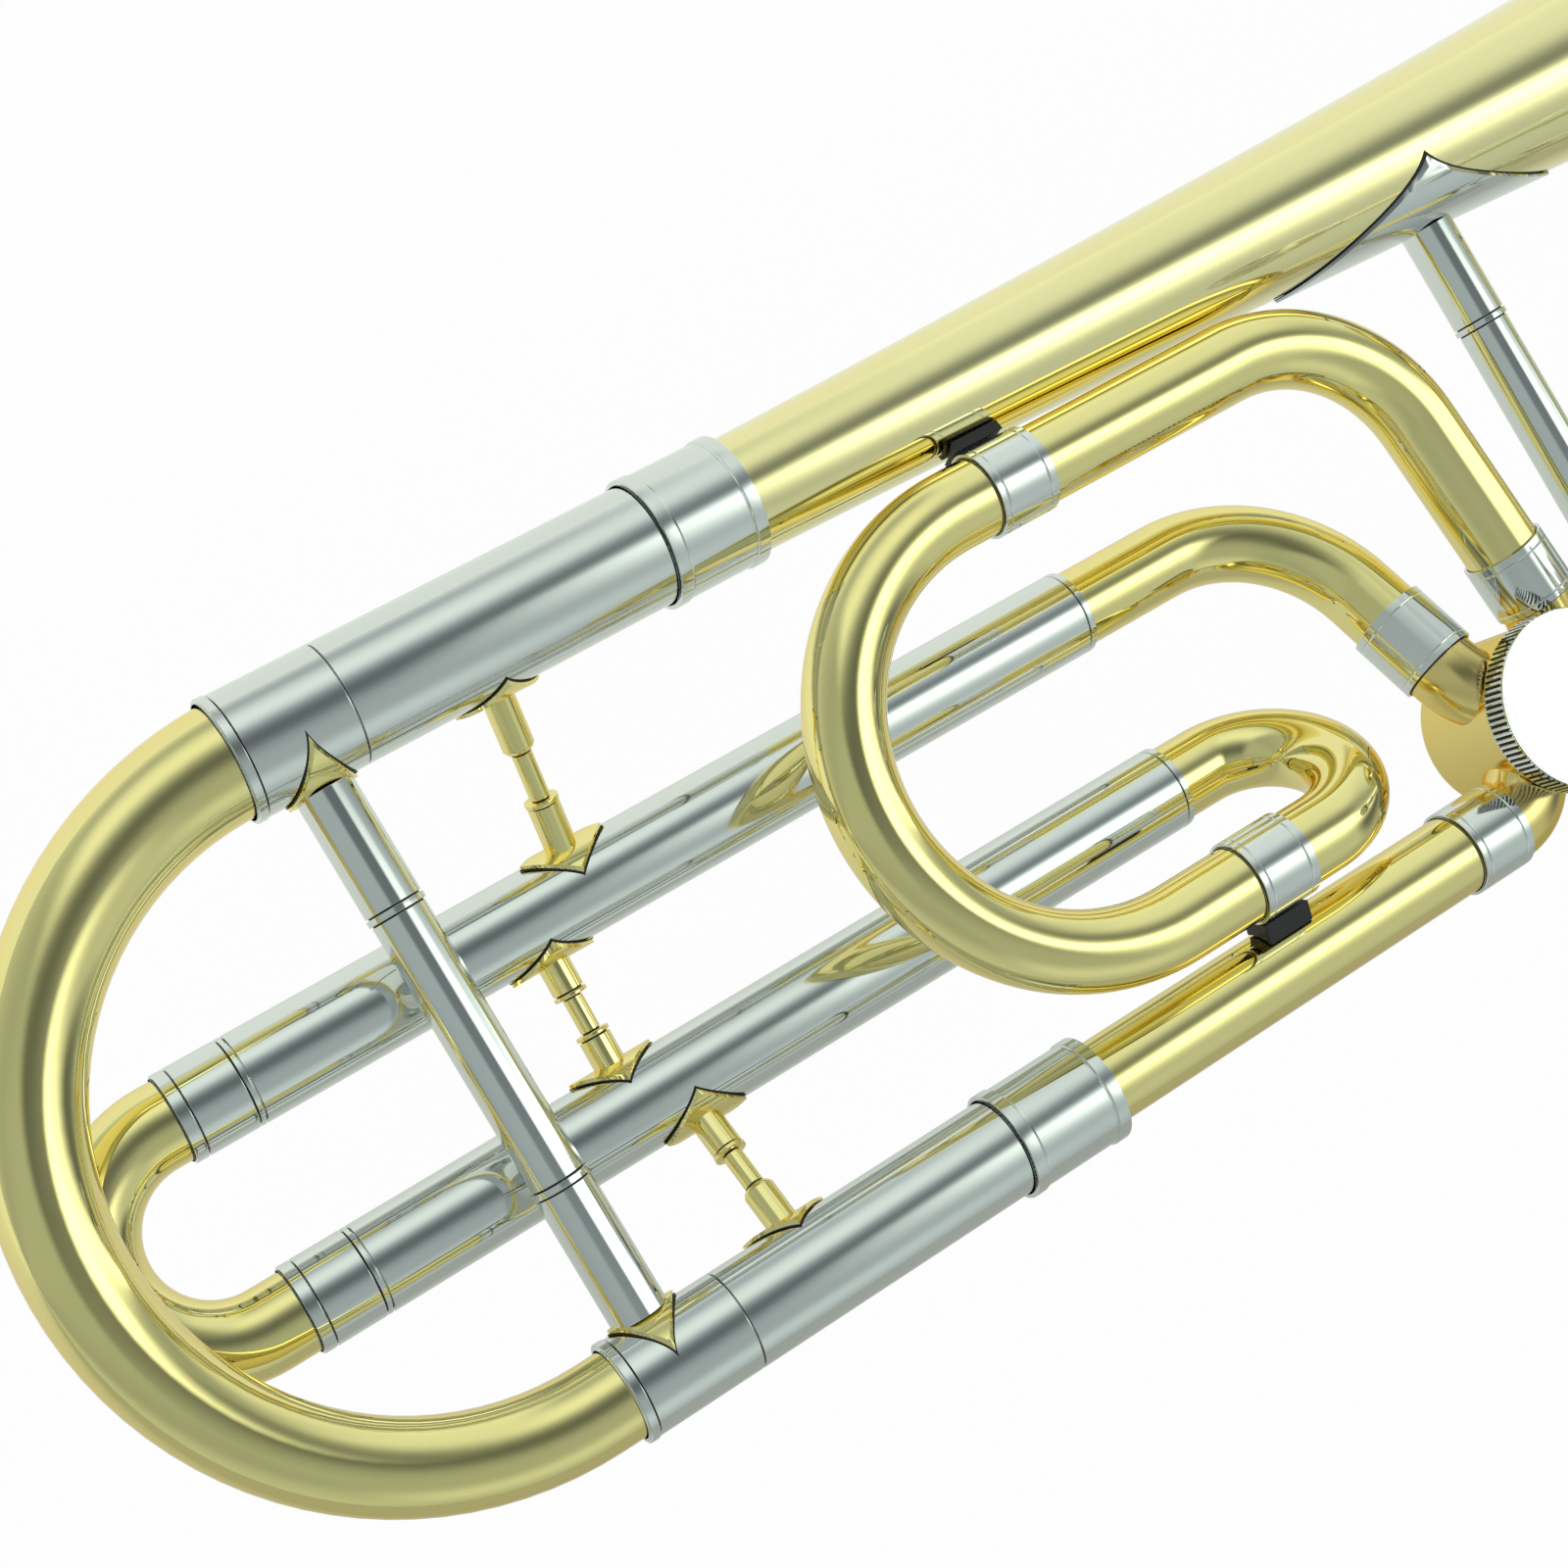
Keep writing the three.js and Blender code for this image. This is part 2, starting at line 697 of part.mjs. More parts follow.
// The bell's outline runs forwards along its outer skin, round the rim wire and back inside
function bellOutline() {
  const outside = [];
  const inside = [];
  const length = bellRimX - bellTailStartX;
  for (let i = 0; i <= bellStations; i++) {
    const share = 1 - Math.pow(1 - i / bellStations, 2);
    const x = bellTailStartX + length * share;
    outside.push([x, bellRadiusAt(x)]);
    inside.unshift([x, bellRadiusAt(x) - bellWall]);
  }
  const rim = [];
  const centre = bellRimRadius - rimWireRadius / 2;
  for (const turn of [-0.25, 0, 0.25, 0.5, 0.75]) {
    const angle = Math.PI * turn;
    rim.push([bellRimX + rimWireRadius * (1 + Math.sin(angle)),
      centre + rimWireRadius * Math.cos(angle)]);
  }
  return [...outside, ...rim, ...inside];
}
place("bell", turned(bellOutline(), bellSides), lacqueredBrass, 0, legSpacing);

// The bell's ferrule laps the outer tube and steps in to the bell's tail
function steppedFerrule({ length, lap, lapBore, farBore, radius }) {
  const bead = radius + beadHeight;
  const end = length - beadLength;
  return turned([
    [0, lapBore], [lap, lapBore], [lap, farBore], [length, farBore], [length, bead],
    [end, bead], [end, radius], [beadLength, radius], [beadLength, bead], [0, bead],
  ]);
}
place("bell_ferrule", steppedFerrule({
  length: bellFerruleLength, lap: bellFerruleLap + clearance,
  lapBore: bellOuterRadius + clearance,
  farBore: bellRadiusAt(bellOuterEndX - bellFerruleLap + bellFerruleLength) + clearance,
  radius: bellOuterRadius + clearance + ferruleWall,
}), nickelSilver, bellOuterEndX - bellFerruleLap, legSpacing);

// Neck tube, from the tuning slide to the valve
const neckFerruleStartX = neckOuterEndX - neckFerruleLap;
const neckTubeStartX = neckOuterEndX + clearance;
place("neck_ferrule", steppedFerrule({
  length: neckFerruleLength, lap: neckFerruleLap + clearance,
  lapBore: neckOuterRadius + clearance, farBore: neckTubeRadius + clearance,
  radius: neckOuterRadius + clearance + ferruleWall }), nickelSilver, neckFerruleStartX);

// Rotary valve

// The knuckles leave the casing on its diagonals. The two on the neck line bend into it,
// and the other two bend towards the corners of the F branches.
const diagonal = casingRadius * Math.SQRT1_2;
const neckKnuckleBend = (valveY - diagonal) / (1 - Math.SQRT1_2);
const neckKnuckleEnd = diagonal + neckKnuckleBend * Math.SQRT1_2;

const fKnuckleCorner = casingRadius + knuckleCorner;
const returnCorner = at(returnBranchCornerX, fUpperY, -fDrop);
const upperCorner = at(upperBranchCornerX, loopUpperY, loopRise);
const returnKnuckleCorner = at(
  valveX - fKnuckleCorner * Math.SQRT1_2, valveY + fKnuckleCorner * Math.SQRT1_2);
const upperKnuckleCorner = at(
  valveX + fKnuckleCorner * Math.SQRT1_2, valveY + fKnuckleCorner * Math.SQRT1_2);
const valveCentre = at(valveX, valveY);

function neckKnuckleRoute(side) {
  const corner = at(valveX + side * (neckKnuckleEnd - neckKnuckleBend * Math.tan(Math.PI / 8)));
  return roundedRoute([
    at(valveX + side * (neckKnuckleEnd + neckKnuckleStub)), corner, valveCentre,
  ], neckKnuckleBend, knuckleSteps);
}

function fKnuckleRoute(corner, branchCorner, reach) {
  const out = branchCorner.clone().sub(corner).normalize();
  const end = corner.clone().addScaledVector(out, reach);
  return roundedRoute([end, corner, valveCentre], knuckleBend, knuckleSteps);
}

const knuckles = [
  [neckKnuckleRoute(-1), neckTubeRadius],
  [neckKnuckleRoute(1), neckTubeRadius],
  [fKnuckleRoute(returnKnuckleCorner, returnCorner, returnKnuckleReach), fTubeRadius],
  [fKnuckleRoute(upperKnuckleCorner, upperCorner, upperKnuckleReach), fTubeRadius],
];

function valveCasing() {
  let body = solid(upright(casingBottomZ, casingTopZ, casingRadius, 2 * tubeSides)
    .translate(valveX, valveY, 0));
  for (const [route, radius] of knuckles) body = body.add(solid(sweptTube(route, 0, radius)));
  for (const [route, radius] of knuckles) {
    body = body.subtract(solid(sweptTube(route, 0, passageRadius)));
    const mouth = route.stations.slice(0, 2);
    const out = mouth[0].clone().sub(mouth[1]).normalize();
    mouth[0] = mouth[0].clone().addScaledVector(out, clearance);
    body = body.subtract(solid(sweptTube(new Route(mouth), 0, radius - tubeWall)));
  }
  const room = upright(casingBottomZ + casingFloor, casingTopZ + overrun, casingBore,
    2 * tubeSides).translate(valveX, valveY, 0);
  const spindleHole = upright(casingBottomZ - overrun, 0, spindleRadius + clearance, smallSides)
    .translate(valveX, valveY, 0);
  return shapeOf(body.subtract(solid(room)).subtract(solid(spindleHole)));
}
place("valve_casing", valveCasing(), goldBrass);

// The rotor: a plug with two curved passages, each joining two neighbouring ports
function rotor() {
  const armTopZ = casingBottomZ - stopPlateThickness - bumperHeight / 2;
  const tip = armTopZ - stopArmThickness - clearance;
  let body = solid(upright(-rotorBottomLength, rotorTopLength, rotorRadius, 2 * tubeSides));
  body = body.add(solid(upright(tip, rotorTopLength + spindleTopLength, spindleRadius,
    smallSides)));
  for (const side of [-1, 1]) {
    const route = roundedRoute([
      at(-rotorRadius, side * rotorRadius), at(0, 0), at(rotorRadius, side * rotorRadius),
    ], rotorRadius, passageSteps);
    body = body.subtract(solid(sweptTube(route, 0, passageRadius, smallSides)));
  }
  return shapeOf(body);
}
place("rotor", rotor(), goldBrass, valveX, valveY);

function bearingPlate() {
  const bottom = rotorTopLength + clearance;
  const top = casingTopZ;
  const plate = solid(upright(bottom, top, casingBore - clearance, 2 * tubeSides));
  const socket = upright(0, rotorTopLength + spindleTopLength + clearance,
    spindleRadius + clearance, smallSides);
  return shapeOf(plate.subtract(solid(socket)));
}
place("valve_bearing_plate", bearingPlate(), goldBrass, valveX, valveY);

// The cap screws on over the casing's upper end. Its edge is knurled and its top is domed.
function valveCap() {
  const bottom = neckTubeRadius + clearance;
  const top = casingTopZ + clearance + capFloor;
  const outline = new THREE.Shape();
  const rims = 2 * knurlCount;
  for (let i = 0; i <= rims; i++) {
    const radius = capRadius - (i % 2) * knurlDepth;
    const turn = 2 * Math.PI * i / rims;
    const [x, y] = [radius * Math.cos(turn), radius * Math.sin(turn)];
    if (i === 0) outline.moveTo(x, y);
    else if (i < rims) outline.lineTo(x, y);
  }
  const band = new THREE.ExtrudeGeometry(outline, { depth: top - bottom, bevelEnabled: false });
  band.translate(0, 0, bottom);
  const crownEdge = capRadius - 2 * knurlDepth - capFloor;
  const crown = turned([
    [top - capFloor, 0], [top + capCrown, 0],
    [top + capCrown * crownRiseShare, crownEdge * crownEdgeShare],
    [top, crownEdge], [top - capFloor, crownEdge],
  ], 2 * smallSides);
  crown.rotateY(-Math.PI / 2);
  const room = upright(bottom - overrun, casingTopZ + clearance, casingRadius + clearance,
    2 * tubeSides);
  return shapeOf(solid(band).add(solid(crown)).subtract(solid(room)));
}
place("valve_cap", valveCap(), nickelSilver, valveX, valveY);

// A ferrule that joins two tubes of one size end to end
function jointFerrule(tubeRadius) {
  const bore = tubeRadius + clearance;
  return beadedSleeve(jointFerruleLength, bore, bore + ferruleWall);
}

// Turns a piece that was made along +X to point along a direction
function aim(geometry, direction) {
  const turn = new THREE.Quaternion().setFromUnitVectors(at(1), direction.clone().normalize());
  return geometry.applyQuaternion(turn);
}

// A joint ferrule centred on a point of a tube that runs in any direction
function placeFerrule(name, tubeRadius, centre, direction) {
  const geometry = jointFerrule(tubeRadius).translate(-jointFerruleLength / 2, 0, 0);
  place(name, aim(geometry, direction), nickelSilver, centre.x, centre.y, centre.z);
}

// Neck tube and gooseneck
const neckTubeEndX = valveX - neckKnuckleEnd - neckKnuckleStub - clearance;
place("neck_tube", sleeve(neckTubeStartX, neckTubeEndX, neckBore / 2, neckTubeRadius),
  lacqueredBrass);
placeFerrule("valve_neck_ferrule", neckTubeRadius, at(neckTubeEndX), at(1));

const gooseneckStartX = valveX + neckKnuckleEnd + neckKnuckleStub - gooseneckLap;
const gooseneckStepX = gooseneckStartX + gooseneckLap + clearance;
const gooseneckEndX = gooseneckInsert - receiverLength;

// The gooseneck's outer radius at a place on its axis: it narrows evenly towards the slide
function gooseneckRadiusAt(x) {
  const share = (x - gooseneckStepX) / (gooseneckEndX - gooseneckStepX);
  return neckTubeRadius + (gooseneckEndRadius - neckTubeRadius) * share;
}

function gooseneck() {
  const socket = neckTubeRadius + clearance;
  const radius = socket + ferruleWall;
  const bead = radius + beadHeight;
  const ferruleEndX = gooseneckStepX + gooseneckLap;
  return turned([
    [gooseneckStartX, socket], [gooseneckStepX, socket],
    [gooseneckStepX, neckTubeRadius - tubeWall],
    [gooseneckEndX, gooseneckEndRadius - tubeWall], [gooseneckEndX, gooseneckEndRadius],
    [ferruleEndX, gooseneckRadiusAt(ferruleEndX)], [ferruleEndX, bead],
    [ferruleEndX - beadLength, bead], [ferruleEndX - beadLength, radius],
    [gooseneckStartX + beadLength, radius], [gooseneckStartX + beadLength, bead],
    [gooseneckStartX, bead],
  ]);
}
place("gooseneck", gooseneck(), lacqueredBrass);

// The receiver holds the gooseneck's end, takes the slide's tapered tenon from the front and
// has a threaded collar for the lock nut
function slideReceiver() {
  const rear = -receiverLength;
  const step = gooseneckEndX + clearance;
  const threadStart = -receiverThreadLength;
  return turned([
    [rear, gooseneckEndRadius + 2 * clearance], [step, gooseneckEndRadius + 2 * clearance],
    [step, tenonRadius - tenonTaper + clearance], [0, tenonRadius + clearance],
    [0, receiverThreadRadius], [threadStart, receiverThreadRadius],
    [threadStart, receiverRadius], [rear + receiverTaperLength, receiverRadius],
    [rear, receiverRearRadius],
  ]);
}
place("slide_receiver", slideReceiver(), nickelSilver);

// F tuning slide
const fLeg = {
  ferruleLength: fLegFerruleLength, socketDepth: fSocketDepth, legLength: fLegLength,
  legBore: fBore, legRadius: fTubeRadius, outerRadius: fOuterRadius, crookRadius: fTubeRadius,
};
place("f_slide_upper_leg", slideLeg(fLeg), nickelSilver, fUpperLegStartX, fUpperY, -fDrop);
place("f_slide_lower_leg", slideLeg(fLeg), nickelSilver, fLowerLegStartX, fLowerY, -fDrop);

const fBend = (fUpperY - fLowerY) / 2;
const fBowRoute = roundedRoute([
  at(fUpperLegStartX + fSocketDepth - clearance, fUpperY, -fDrop),
  at(fBowCentreX - fBend, fUpperY, -fDrop), at(fBowCentreX - fBend, fLowerY, -fDrop),
  at(fLowerLegStartX + fSocketDepth - clearance, fLowerY, -fDrop),
], fBend, bowSteps);
place("f_slide_crook", sweptTube(fBowRoute, fBore / 2, fTubeRadius), lacqueredBrass);

function placeFOuterTube(name, legStartX, y) {
  const start = legStartX + fLegFerruleLength + clearance;
  place(name, sleeve(start, fOuterEndX, fOuterBore, fOuterRadius), nickelSilver, 0, y, -fDrop);
}
placeFOuterTube("f_upper_outer_tube", fUpperLegStartX, fUpperY);
placeFOuterTube("f_lower_outer_tube", fLowerLegStartX, fLowerY);

// Return branch, from the upper F leg to the valve
const [, , returnKnuckle, upperKnuckle] = knuckles.map(([route]) => route);

// The place where a branch meets its knuckle, and the way the branch leaves it
function knuckleMouth(route) {
  const direction = route.stations[0].clone().sub(route.stations[1]).normalize();
  const mouth = route.stations[0].clone().addScaledVector(direction, clearance);
  return { direction, mouth };
}
const returnMouth = knuckleMouth(returnKnuckle);
const upperMouth = knuckleMouth(upperKnuckle);
const returnRoute = roundedRoute([
  at(fOuterEndX - branchLap, fUpperY, -fDrop), returnCorner, returnMouth.mouth,
], returnBranchBend, branchSteps);
place("f_return_branch", sweptTube(returnRoute, fBore / 2, fTubeRadius), lacqueredBrass);
placeFerrule("f_valve_lower_ferrule", fTubeRadius, returnMouth.mouth, returnMouth.direction);

// Upper branch, from the loop to the valve
const loopUpperJointX = loopUpperFerruleX + jointFerruleLength / 2;
const loopLowerJointX = loopLowerFerruleX + jointFerruleLength / 2;
const upperRoute = roundedRoute([
  at(loopUpperJointX + clearance, loopUpperY, loopRise), upperCorner, upperMouth.mouth,
], upperBranchBend, branchSteps);
place("f_upper_branch", sweptTube(upperRoute, fBore / 2, fTubeRadius), lacqueredBrass);
placeFerrule("f_valve_upper_ferrule", fTubeRadius, upperMouth.mouth, upperMouth.direction);

// Open loop, and the bend that joins it to the lower F leg
placeFerrule("f_loop_upper_ferrule", fTubeRadius, at(loopUpperJointX, loopUpperY, loopRise),
  at(1));
placeFerrule("f_loop_lower_ferrule", fTubeRadius, at(loopLowerJointX, loopLowerY, loopRise),
  at(1));
const loopBend = (loopUpperY - loopLowerY) / 2;
const loopRoute = roundedRoute([
  at(loopUpperJointX, loopUpperY, loopRise), at(loopCentreX - loopBend, loopUpperY, loopRise),
  at(loopCentreX - loopBend, loopLowerY, loopRise), at(loopLowerJointX, loopLowerY, loopRise),
], loopBend, loopSteps);
place("f_loop", sweptTube(loopRoute, fBore / 2, fTubeRadius), lacqueredBrass);

const uBendSpan = at(0, fLowerY, -fDrop).distanceTo(at(0, loopLowerY, loopRise));
const uBendRadius = uBendSpan / 2;
const uBendRoute = roundedRoute([
  at(loopLowerJointX + clearance, loopLowerY, loopRise),
  at(uBendStartX + uBendRadius, loopLowerY, loopRise),
  at(uBendStartX + uBendRadius, fLowerY, -fDrop),
  at(fOuterEndX - branchLap, fLowerY, -fDrop),
], uBendRadius, bowSteps);
place("f_u_bend", sweptTube(uBendRoute, fBore / 2, fTubeRadius), lacqueredBrass);

// Stays between the slide tubes
function placeStay(name, x, from, fromRadius, to, toRadius) {
  place(name, stay(from, fromRadius, to, toRadius), lacqueredBrass, x, from.y, from.z);
}
const bellLine = at(0, legSpacing);
const neckLine = at(0);
const fUpperLine = at(0, fUpperY, -fDrop);
const fLowerLine = at(0, fLowerY, -fDrop);
placeStay("stay_bell", bellStayX, fUpperLine, fOuterRadius, bellLine, bellOuterRadius);
placeStay("stay_centre", centreStayX, fLowerLine, fOuterRadius, fUpperLine, fOuterRadius);
placeStay("stay_neck", neckStayX, neckLine, neckOuterRadius, fLowerLine, fOuterRadius);

// A small block between a loop ferrule and the main tube beside it, hollowed to sit on both
function placeSpacer(name, x, line, lineRadius, loopY) {
  const loop = at(0, loopY, loopRise);
  const span = loop.clone().sub(line);
  const distance = span.length();
  const block = new THREE.BoxGeometry(spacerLength, distance, spacerWidth);
  block.translate(0, distance / 2, 0);
  const cut = (radius, y) => solid(
    rod(-spacerLength, spacerLength, radius, 2 * smallSides).translate(0, y, 0));
  const loopCut = fFerruleRadius + beadHeight + clearance;
  const body = solid(block).subtract(cut(lineRadius, 0)).subtract(cut(loopCut, distance));
  const geometry = shapeOf(body).rotateX(Math.atan2(span.z, span.y));
  place(name, geometry, blackRubber, x, line.y, line.z);
}
const bellSpacerRadius = bellRadiusAt(loopUpperJointX + spacerLength / 2) + clearance;
placeSpacer("bell_spacer", loopUpperJointX, bellLine, bellSpacerRadius, loopUpperY);
placeSpacer("neck_spacer", loopLowerJointX, neckLine, neckTubeRadius + clearance, loopLowerY);

// Bell braces

// A solid with the bell's own outline, grown by a margin
function bellSolid(x0, x1, margin) {
  const outline = [[x0, 0], [x1, 0]];
  for (let i = 0; i <= flangeStations; i++) {
    const x = x1 + (x0 - x1) * i / flangeStations;
    outline.push([x, bellRadiusAt(x) + margin]);
  }
  return solid(turned(outline, bellSides));
}

// A four-pointed plate that lies on the bell's neck side
function bellFlange(x, halfLength) {
  const reach = bellRadiusAt(x) * bellFlangeWrapShare;
  const outline = new THREE.Shape();
  outline.moveTo(x + halfLength, 0);
  const waistX = halfLength * bellFlangeWaistShare;
  const waistZ = reach * bellFlangeWaistShare;
  outline.quadraticCurveTo(x + waistX, waistZ, x, reach);
  outline.quadraticCurveTo(x - waistX, waistZ, x - halfLength, 0);
  outline.quadraticCurveTo(x - waistX, -waistZ, x, -reach);
  outline.quadraticCurveTo(x + waistX, -waistZ, x + halfLength, 0);
  const stamp = new THREE.ExtrudeGeometry(outline, {
    depth: bellRimRadius, bevelEnabled: false, curveSegments: 6 });
  stamp.rotateX(Math.PI / 2);
  const x0 = x - halfLength - overrun;
  const x1 = x + halfLength + overrun;
  const shell = bellSolid(x0, x1, clearance + flangeThickness)
    .subtract(bellSolid(x0 - overrun, x1 + overrun, clearance));
  return shapeOf(shell.intersect(solid(stamp)));
}
place("rear_brace_bell_flange", bellFlange(rearBraceX, bellFlangeHalfLength), nickelSilver,
  0, legSpacing);
place("front_brace_bell_flange", bellFlange(frontBraceX, frontFlangeHalfLength), nickelSilver,
  0, legSpacing);

// A bell brace: a saddle on the tube of the neck line, a thin rod, and a wide socket that
// swells towards the bell
function bellBrace(x, neckRadius) {
  const head = legSpacing - bellRadiusAt(x);
  const socket = head * bellBraceSocketShare;
  const foot = neckRadius + neckBraceSocketLength;
  const bar = turned([
    [neckRadius, 0], [head, 0], [head, bellBraceSocketRadius],
    [head - socket + braceRingLength, braceSocketRadius],
    [head - socket + braceRingLength, braceRingRadius], [head - socket, braceRingRadius],
    [head - socket, braceRodRadius], [foot, braceRodRadius], [foot, braceRingRadius],
    [foot - braceRingLength, braceRingRadius], [foot - braceRingLength, braceSocketRadius],
    [neckRadius, braceSocketRadius],
  ], smallSides).rotateZ(Math.PI / 2);
  const reach = bellBraceSocketRadius + overrun;
  const bellCut = bellSolid(x - reach, x + reach, 2 * clearance + flangeThickness)
    .translate([-x, legSpacing, 0]);
  const neckCut = rod(-neckSaddleLength, neckSaddleLength, neckRadius + clearance,
    2 * smallSides);
  return shapeOf(solid(bar).add(saddle(neckRadius, neckSaddleLength, stayFlangeWrapShare))
    .subtract(bellCut).subtract(solid(neckCut)));
}
place("rear_brace", bellBrace(rearBraceX, rearBraceNeckRadius), nickelSilver, rearBraceX);
place("front_brace", bellBrace(frontBraceX, receiverRadius), nickelSilver, frontBraceX);

// Stop plate, stop arm, link and thumb lever
const plateTopZ = casingBottomZ - clearance;
const plateBottomZ = plateTopZ - stopPlateThickness;
const armTopZ = plateBottomZ - clearance;
const armBottomZ = armTopZ - stopArmThickness;
const linkTopZ = armBottomZ - clearance;
const linkBottomZ = linkTopZ - linkThickness;
const pinBottomZ = linkBottomZ - clearance;
const halfSwing = THREE.MathUtils.degToRad(rotorSwing / 2);
const halfLeverSwing = THREE.MathUtils.degToRad(leverSwing / 2);
const leverLinkArm = stopArmRadius * Math.sin(halfSwing) / Math.sin(halfLeverSwing);

// The lever pivot stands where the link's two ends swing through arcs of the same mean height
const rotorPinDepth = stopArmRadius * (1 + Math.cos(halfSwing)) / 2;
const leverPinDepth = leverLinkArm * (1 + Math.cos(halfLeverSwing)) / 2;
const leverPivotY = valveY - rotorPinDepth + leverPinDepth;
const rotorPin = at(stopArmRadius * Math.sin(halfSwing), -stopArmRadius * Math.cos(halfSwing));
const leverPin = at(
  leverLinkArm * Math.sin(halfLeverSwing), -leverLinkArm * Math.cos(halfLeverSwing));

// A flat bar with round ends between two points, from one height to another
function bar(from, to, halfWidth, z0, z1) {
  const run = to.clone().sub(from);
  const outline = new THREE.Shape();
  outline.absarc(0, 0, halfWidth, Math.PI / 2, 3 * Math.PI / 2);
  outline.absarc(Math.hypot(run.x, run.y), 0, halfWidth, -Math.PI / 2, Math.PI / 2);
  const geometry = new THREE.ExtrudeGeometry(outline, {
    depth: z1 - z0, bevelEnabled: false, curveSegments: barEndSteps });
  geometry.rotateZ(Math.atan2(run.y, run.x));
  geometry.translate(from.x, from.y, z0);
  return solid(geometry);
}

function post(point, z0, z1, radius) {
  return solid(upright(z0, z1, radius, smallSides).translate(point.x, point.y, 0));
}

function polar(radius, angle) {
  return at(radius * Math.cos(angle), radius * Math.sin(angle));
}

// The plate under the casing, with the two rubber-faced posts that stop the arm
function stopPlate() {
  const centre = at(0);
  let body = post(centre, plateBottomZ, plateTopZ, stopPlateRadius);
  const aside = halfSwing + (bumperRadius + stopFingerHalfWidth + clearance) / bumperPathRadius;
  for (const side of [-1, 1]) {
    const spot = polar(bumperPathRadius, Math.PI / 2 + side * aside);
    body = body.add(post(spot, plateBottomZ - bumperHeight, plateBottomZ + clearance,
      bumperRadius));
  }
  const hole = post(centre, plateBottomZ - overrun, plateTopZ + overrun,
    spindleRadius + clearance);
  return shapeOf(body.subtract(hole));
}
place("stop_plate", stopPlate(), goldBrass, valveX, valveY);

function stopArm() {
  const finger = polar(bumperPathRadius, Math.PI / 2 + halfSwing);
  const hole = post(at(0), armBottomZ - overrun, armTopZ + overrun, spindleRadius + clearance);
  const body = post(at(0), armBottomZ, armTopZ, stopArmHubRadius)
    .add(bar(at(0), finger, stopFingerHalfWidth, armBottomZ, armTopZ))
    .add(bar(at(0), rotorPin, stopArmTabRadius, armBottomZ, armTopZ))
    .add(post(rotorPin, pinBottomZ, armTopZ, linkPinRadius));
  return shapeOf(body.subtract(hole));
}
place("stop_arm", stopArm(), steel, valveX, valveY);

// The link's rotor eye is wider than its pin, by the height between the two ends' arcs
function linkRod() {
  const start = at(valveX, valveY).add(rotorPin);
  const end = at(leverPivotX, leverPivotY).add(leverPin);
  start.setY(end.y);
  const middle = (linkTopZ + linkBottomZ) / 2;
  const shank = rod(start.x, end.x, linkRodRadius).translate(0, end.y, middle);
  const body = solid(shank)
    .add(post(start, linkBottomZ, linkTopZ, linkEyeRadius))
    .add(post(end, linkBottomZ, linkTopZ, linkEyeRadius))
    .subtract(post(start, linkBottomZ - overrun, linkTopZ + overrun, linkEyeBore))
    .subtract(post(end, linkBottomZ - overrun, linkTopZ + overrun, linkPinRadius + clearance));
  return shapeOf(body);
}
place("link_rod", linkRod(), steel);

// The thumb lever: a cranked bar with a rounded paddle that stands on its edge
function thumbLever() {
  const elbow = at(leverPaddleReach, -leverPaddleDip);
  const paddle = new THREE.CylinderGeometry(1, 1, leverPaddleThickness, 2 * smallSides);
  paddle.scale(leverPaddleLength / 2, 1, leverPaddleWidth / 2);
  paddle.translate(elbow.x, elbow.y, armBottomZ + leverPaddleWidth / 2);
  const body = post(at(0), armBottomZ, armTopZ, leverHubRadius)
    .add(bar(at(0), leverPin, leverBarRadius, armBottomZ, armTopZ))
    .add(post(leverPin, pinBottomZ, armTopZ, linkPinRadius))
    .add(bar(at(0), elbow, leverBarRadius, armBottomZ, armTopZ))
    .add(solid(paddle));
  const hole = post(at(0), armBottomZ - overrun, armTopZ + overrun, leverPinRadius + clearance);
  return shapeOf(body.subtract(hole));
}
place("thumb_lever", thumbLever(), steel, leverPivotX, leverPivotY);

// The bracket under the gooseneck that carries the lever's pivot pin and its head
function leverBracket() {
  const bottom = armTopZ + clearance;
  const tubeRadius = gooseneckRadiusAt(leverPivotX - bracketHalfWidth) + clearance;
  const pivot = at(0, leverPivotY);
  const block = new THREE.BoxGeometry(
    2 * bracketHalfWidth, 2 * bracketSeatHalfWidth, bracketSeatHeight);
  block.translate(0, 0, bottom + bracketSeatHeight / 2);
  const headTop = armBottomZ - clearance;
  const tube = rod(-2 * bracketHalfWidth, 2 * bracketHalfWidth, tubeRadius, 2 * smallSides);
  const body = solid(block)
    .add(bar(at(0), pivot, bracketHalfWidth, bottom, bottom + bracketPlateThickness))
    .add(post(pivot, headTop - bracketPlateThickness, bottom + clearance, leverPinRadius))
    .add(post(pivot, headTop - bracketPlateThickness, headTop, bracketPostRadius))
    .subtract(solid(tube));
  return shapeOf(body);
}
place("lever_bracket", leverBracket(), goldBrass, leverPivotX);

// Hand slide

// A fluted grip ring round a nut
function knurledBand(radius, count, depth, x0, x1) {
  const outline = new THREE.Shape();
  const points = [];
  for (let i = 0; i < 2 * count; i++) points.push(polar(radius - (i % 2) * depth,
    Math.PI * i / count));
  outline.setFromPoints(points.map((p) => new THREE.Vector2(p.x, p.y)));
  const band = new THREE.ExtrudeGeometry(outline, { depth: x1 - x0, bevelEnabled: false });
  band.rotateY(Math.PI / 2);
  band.translate(x0, 0, 0);
  return solid(band);
}

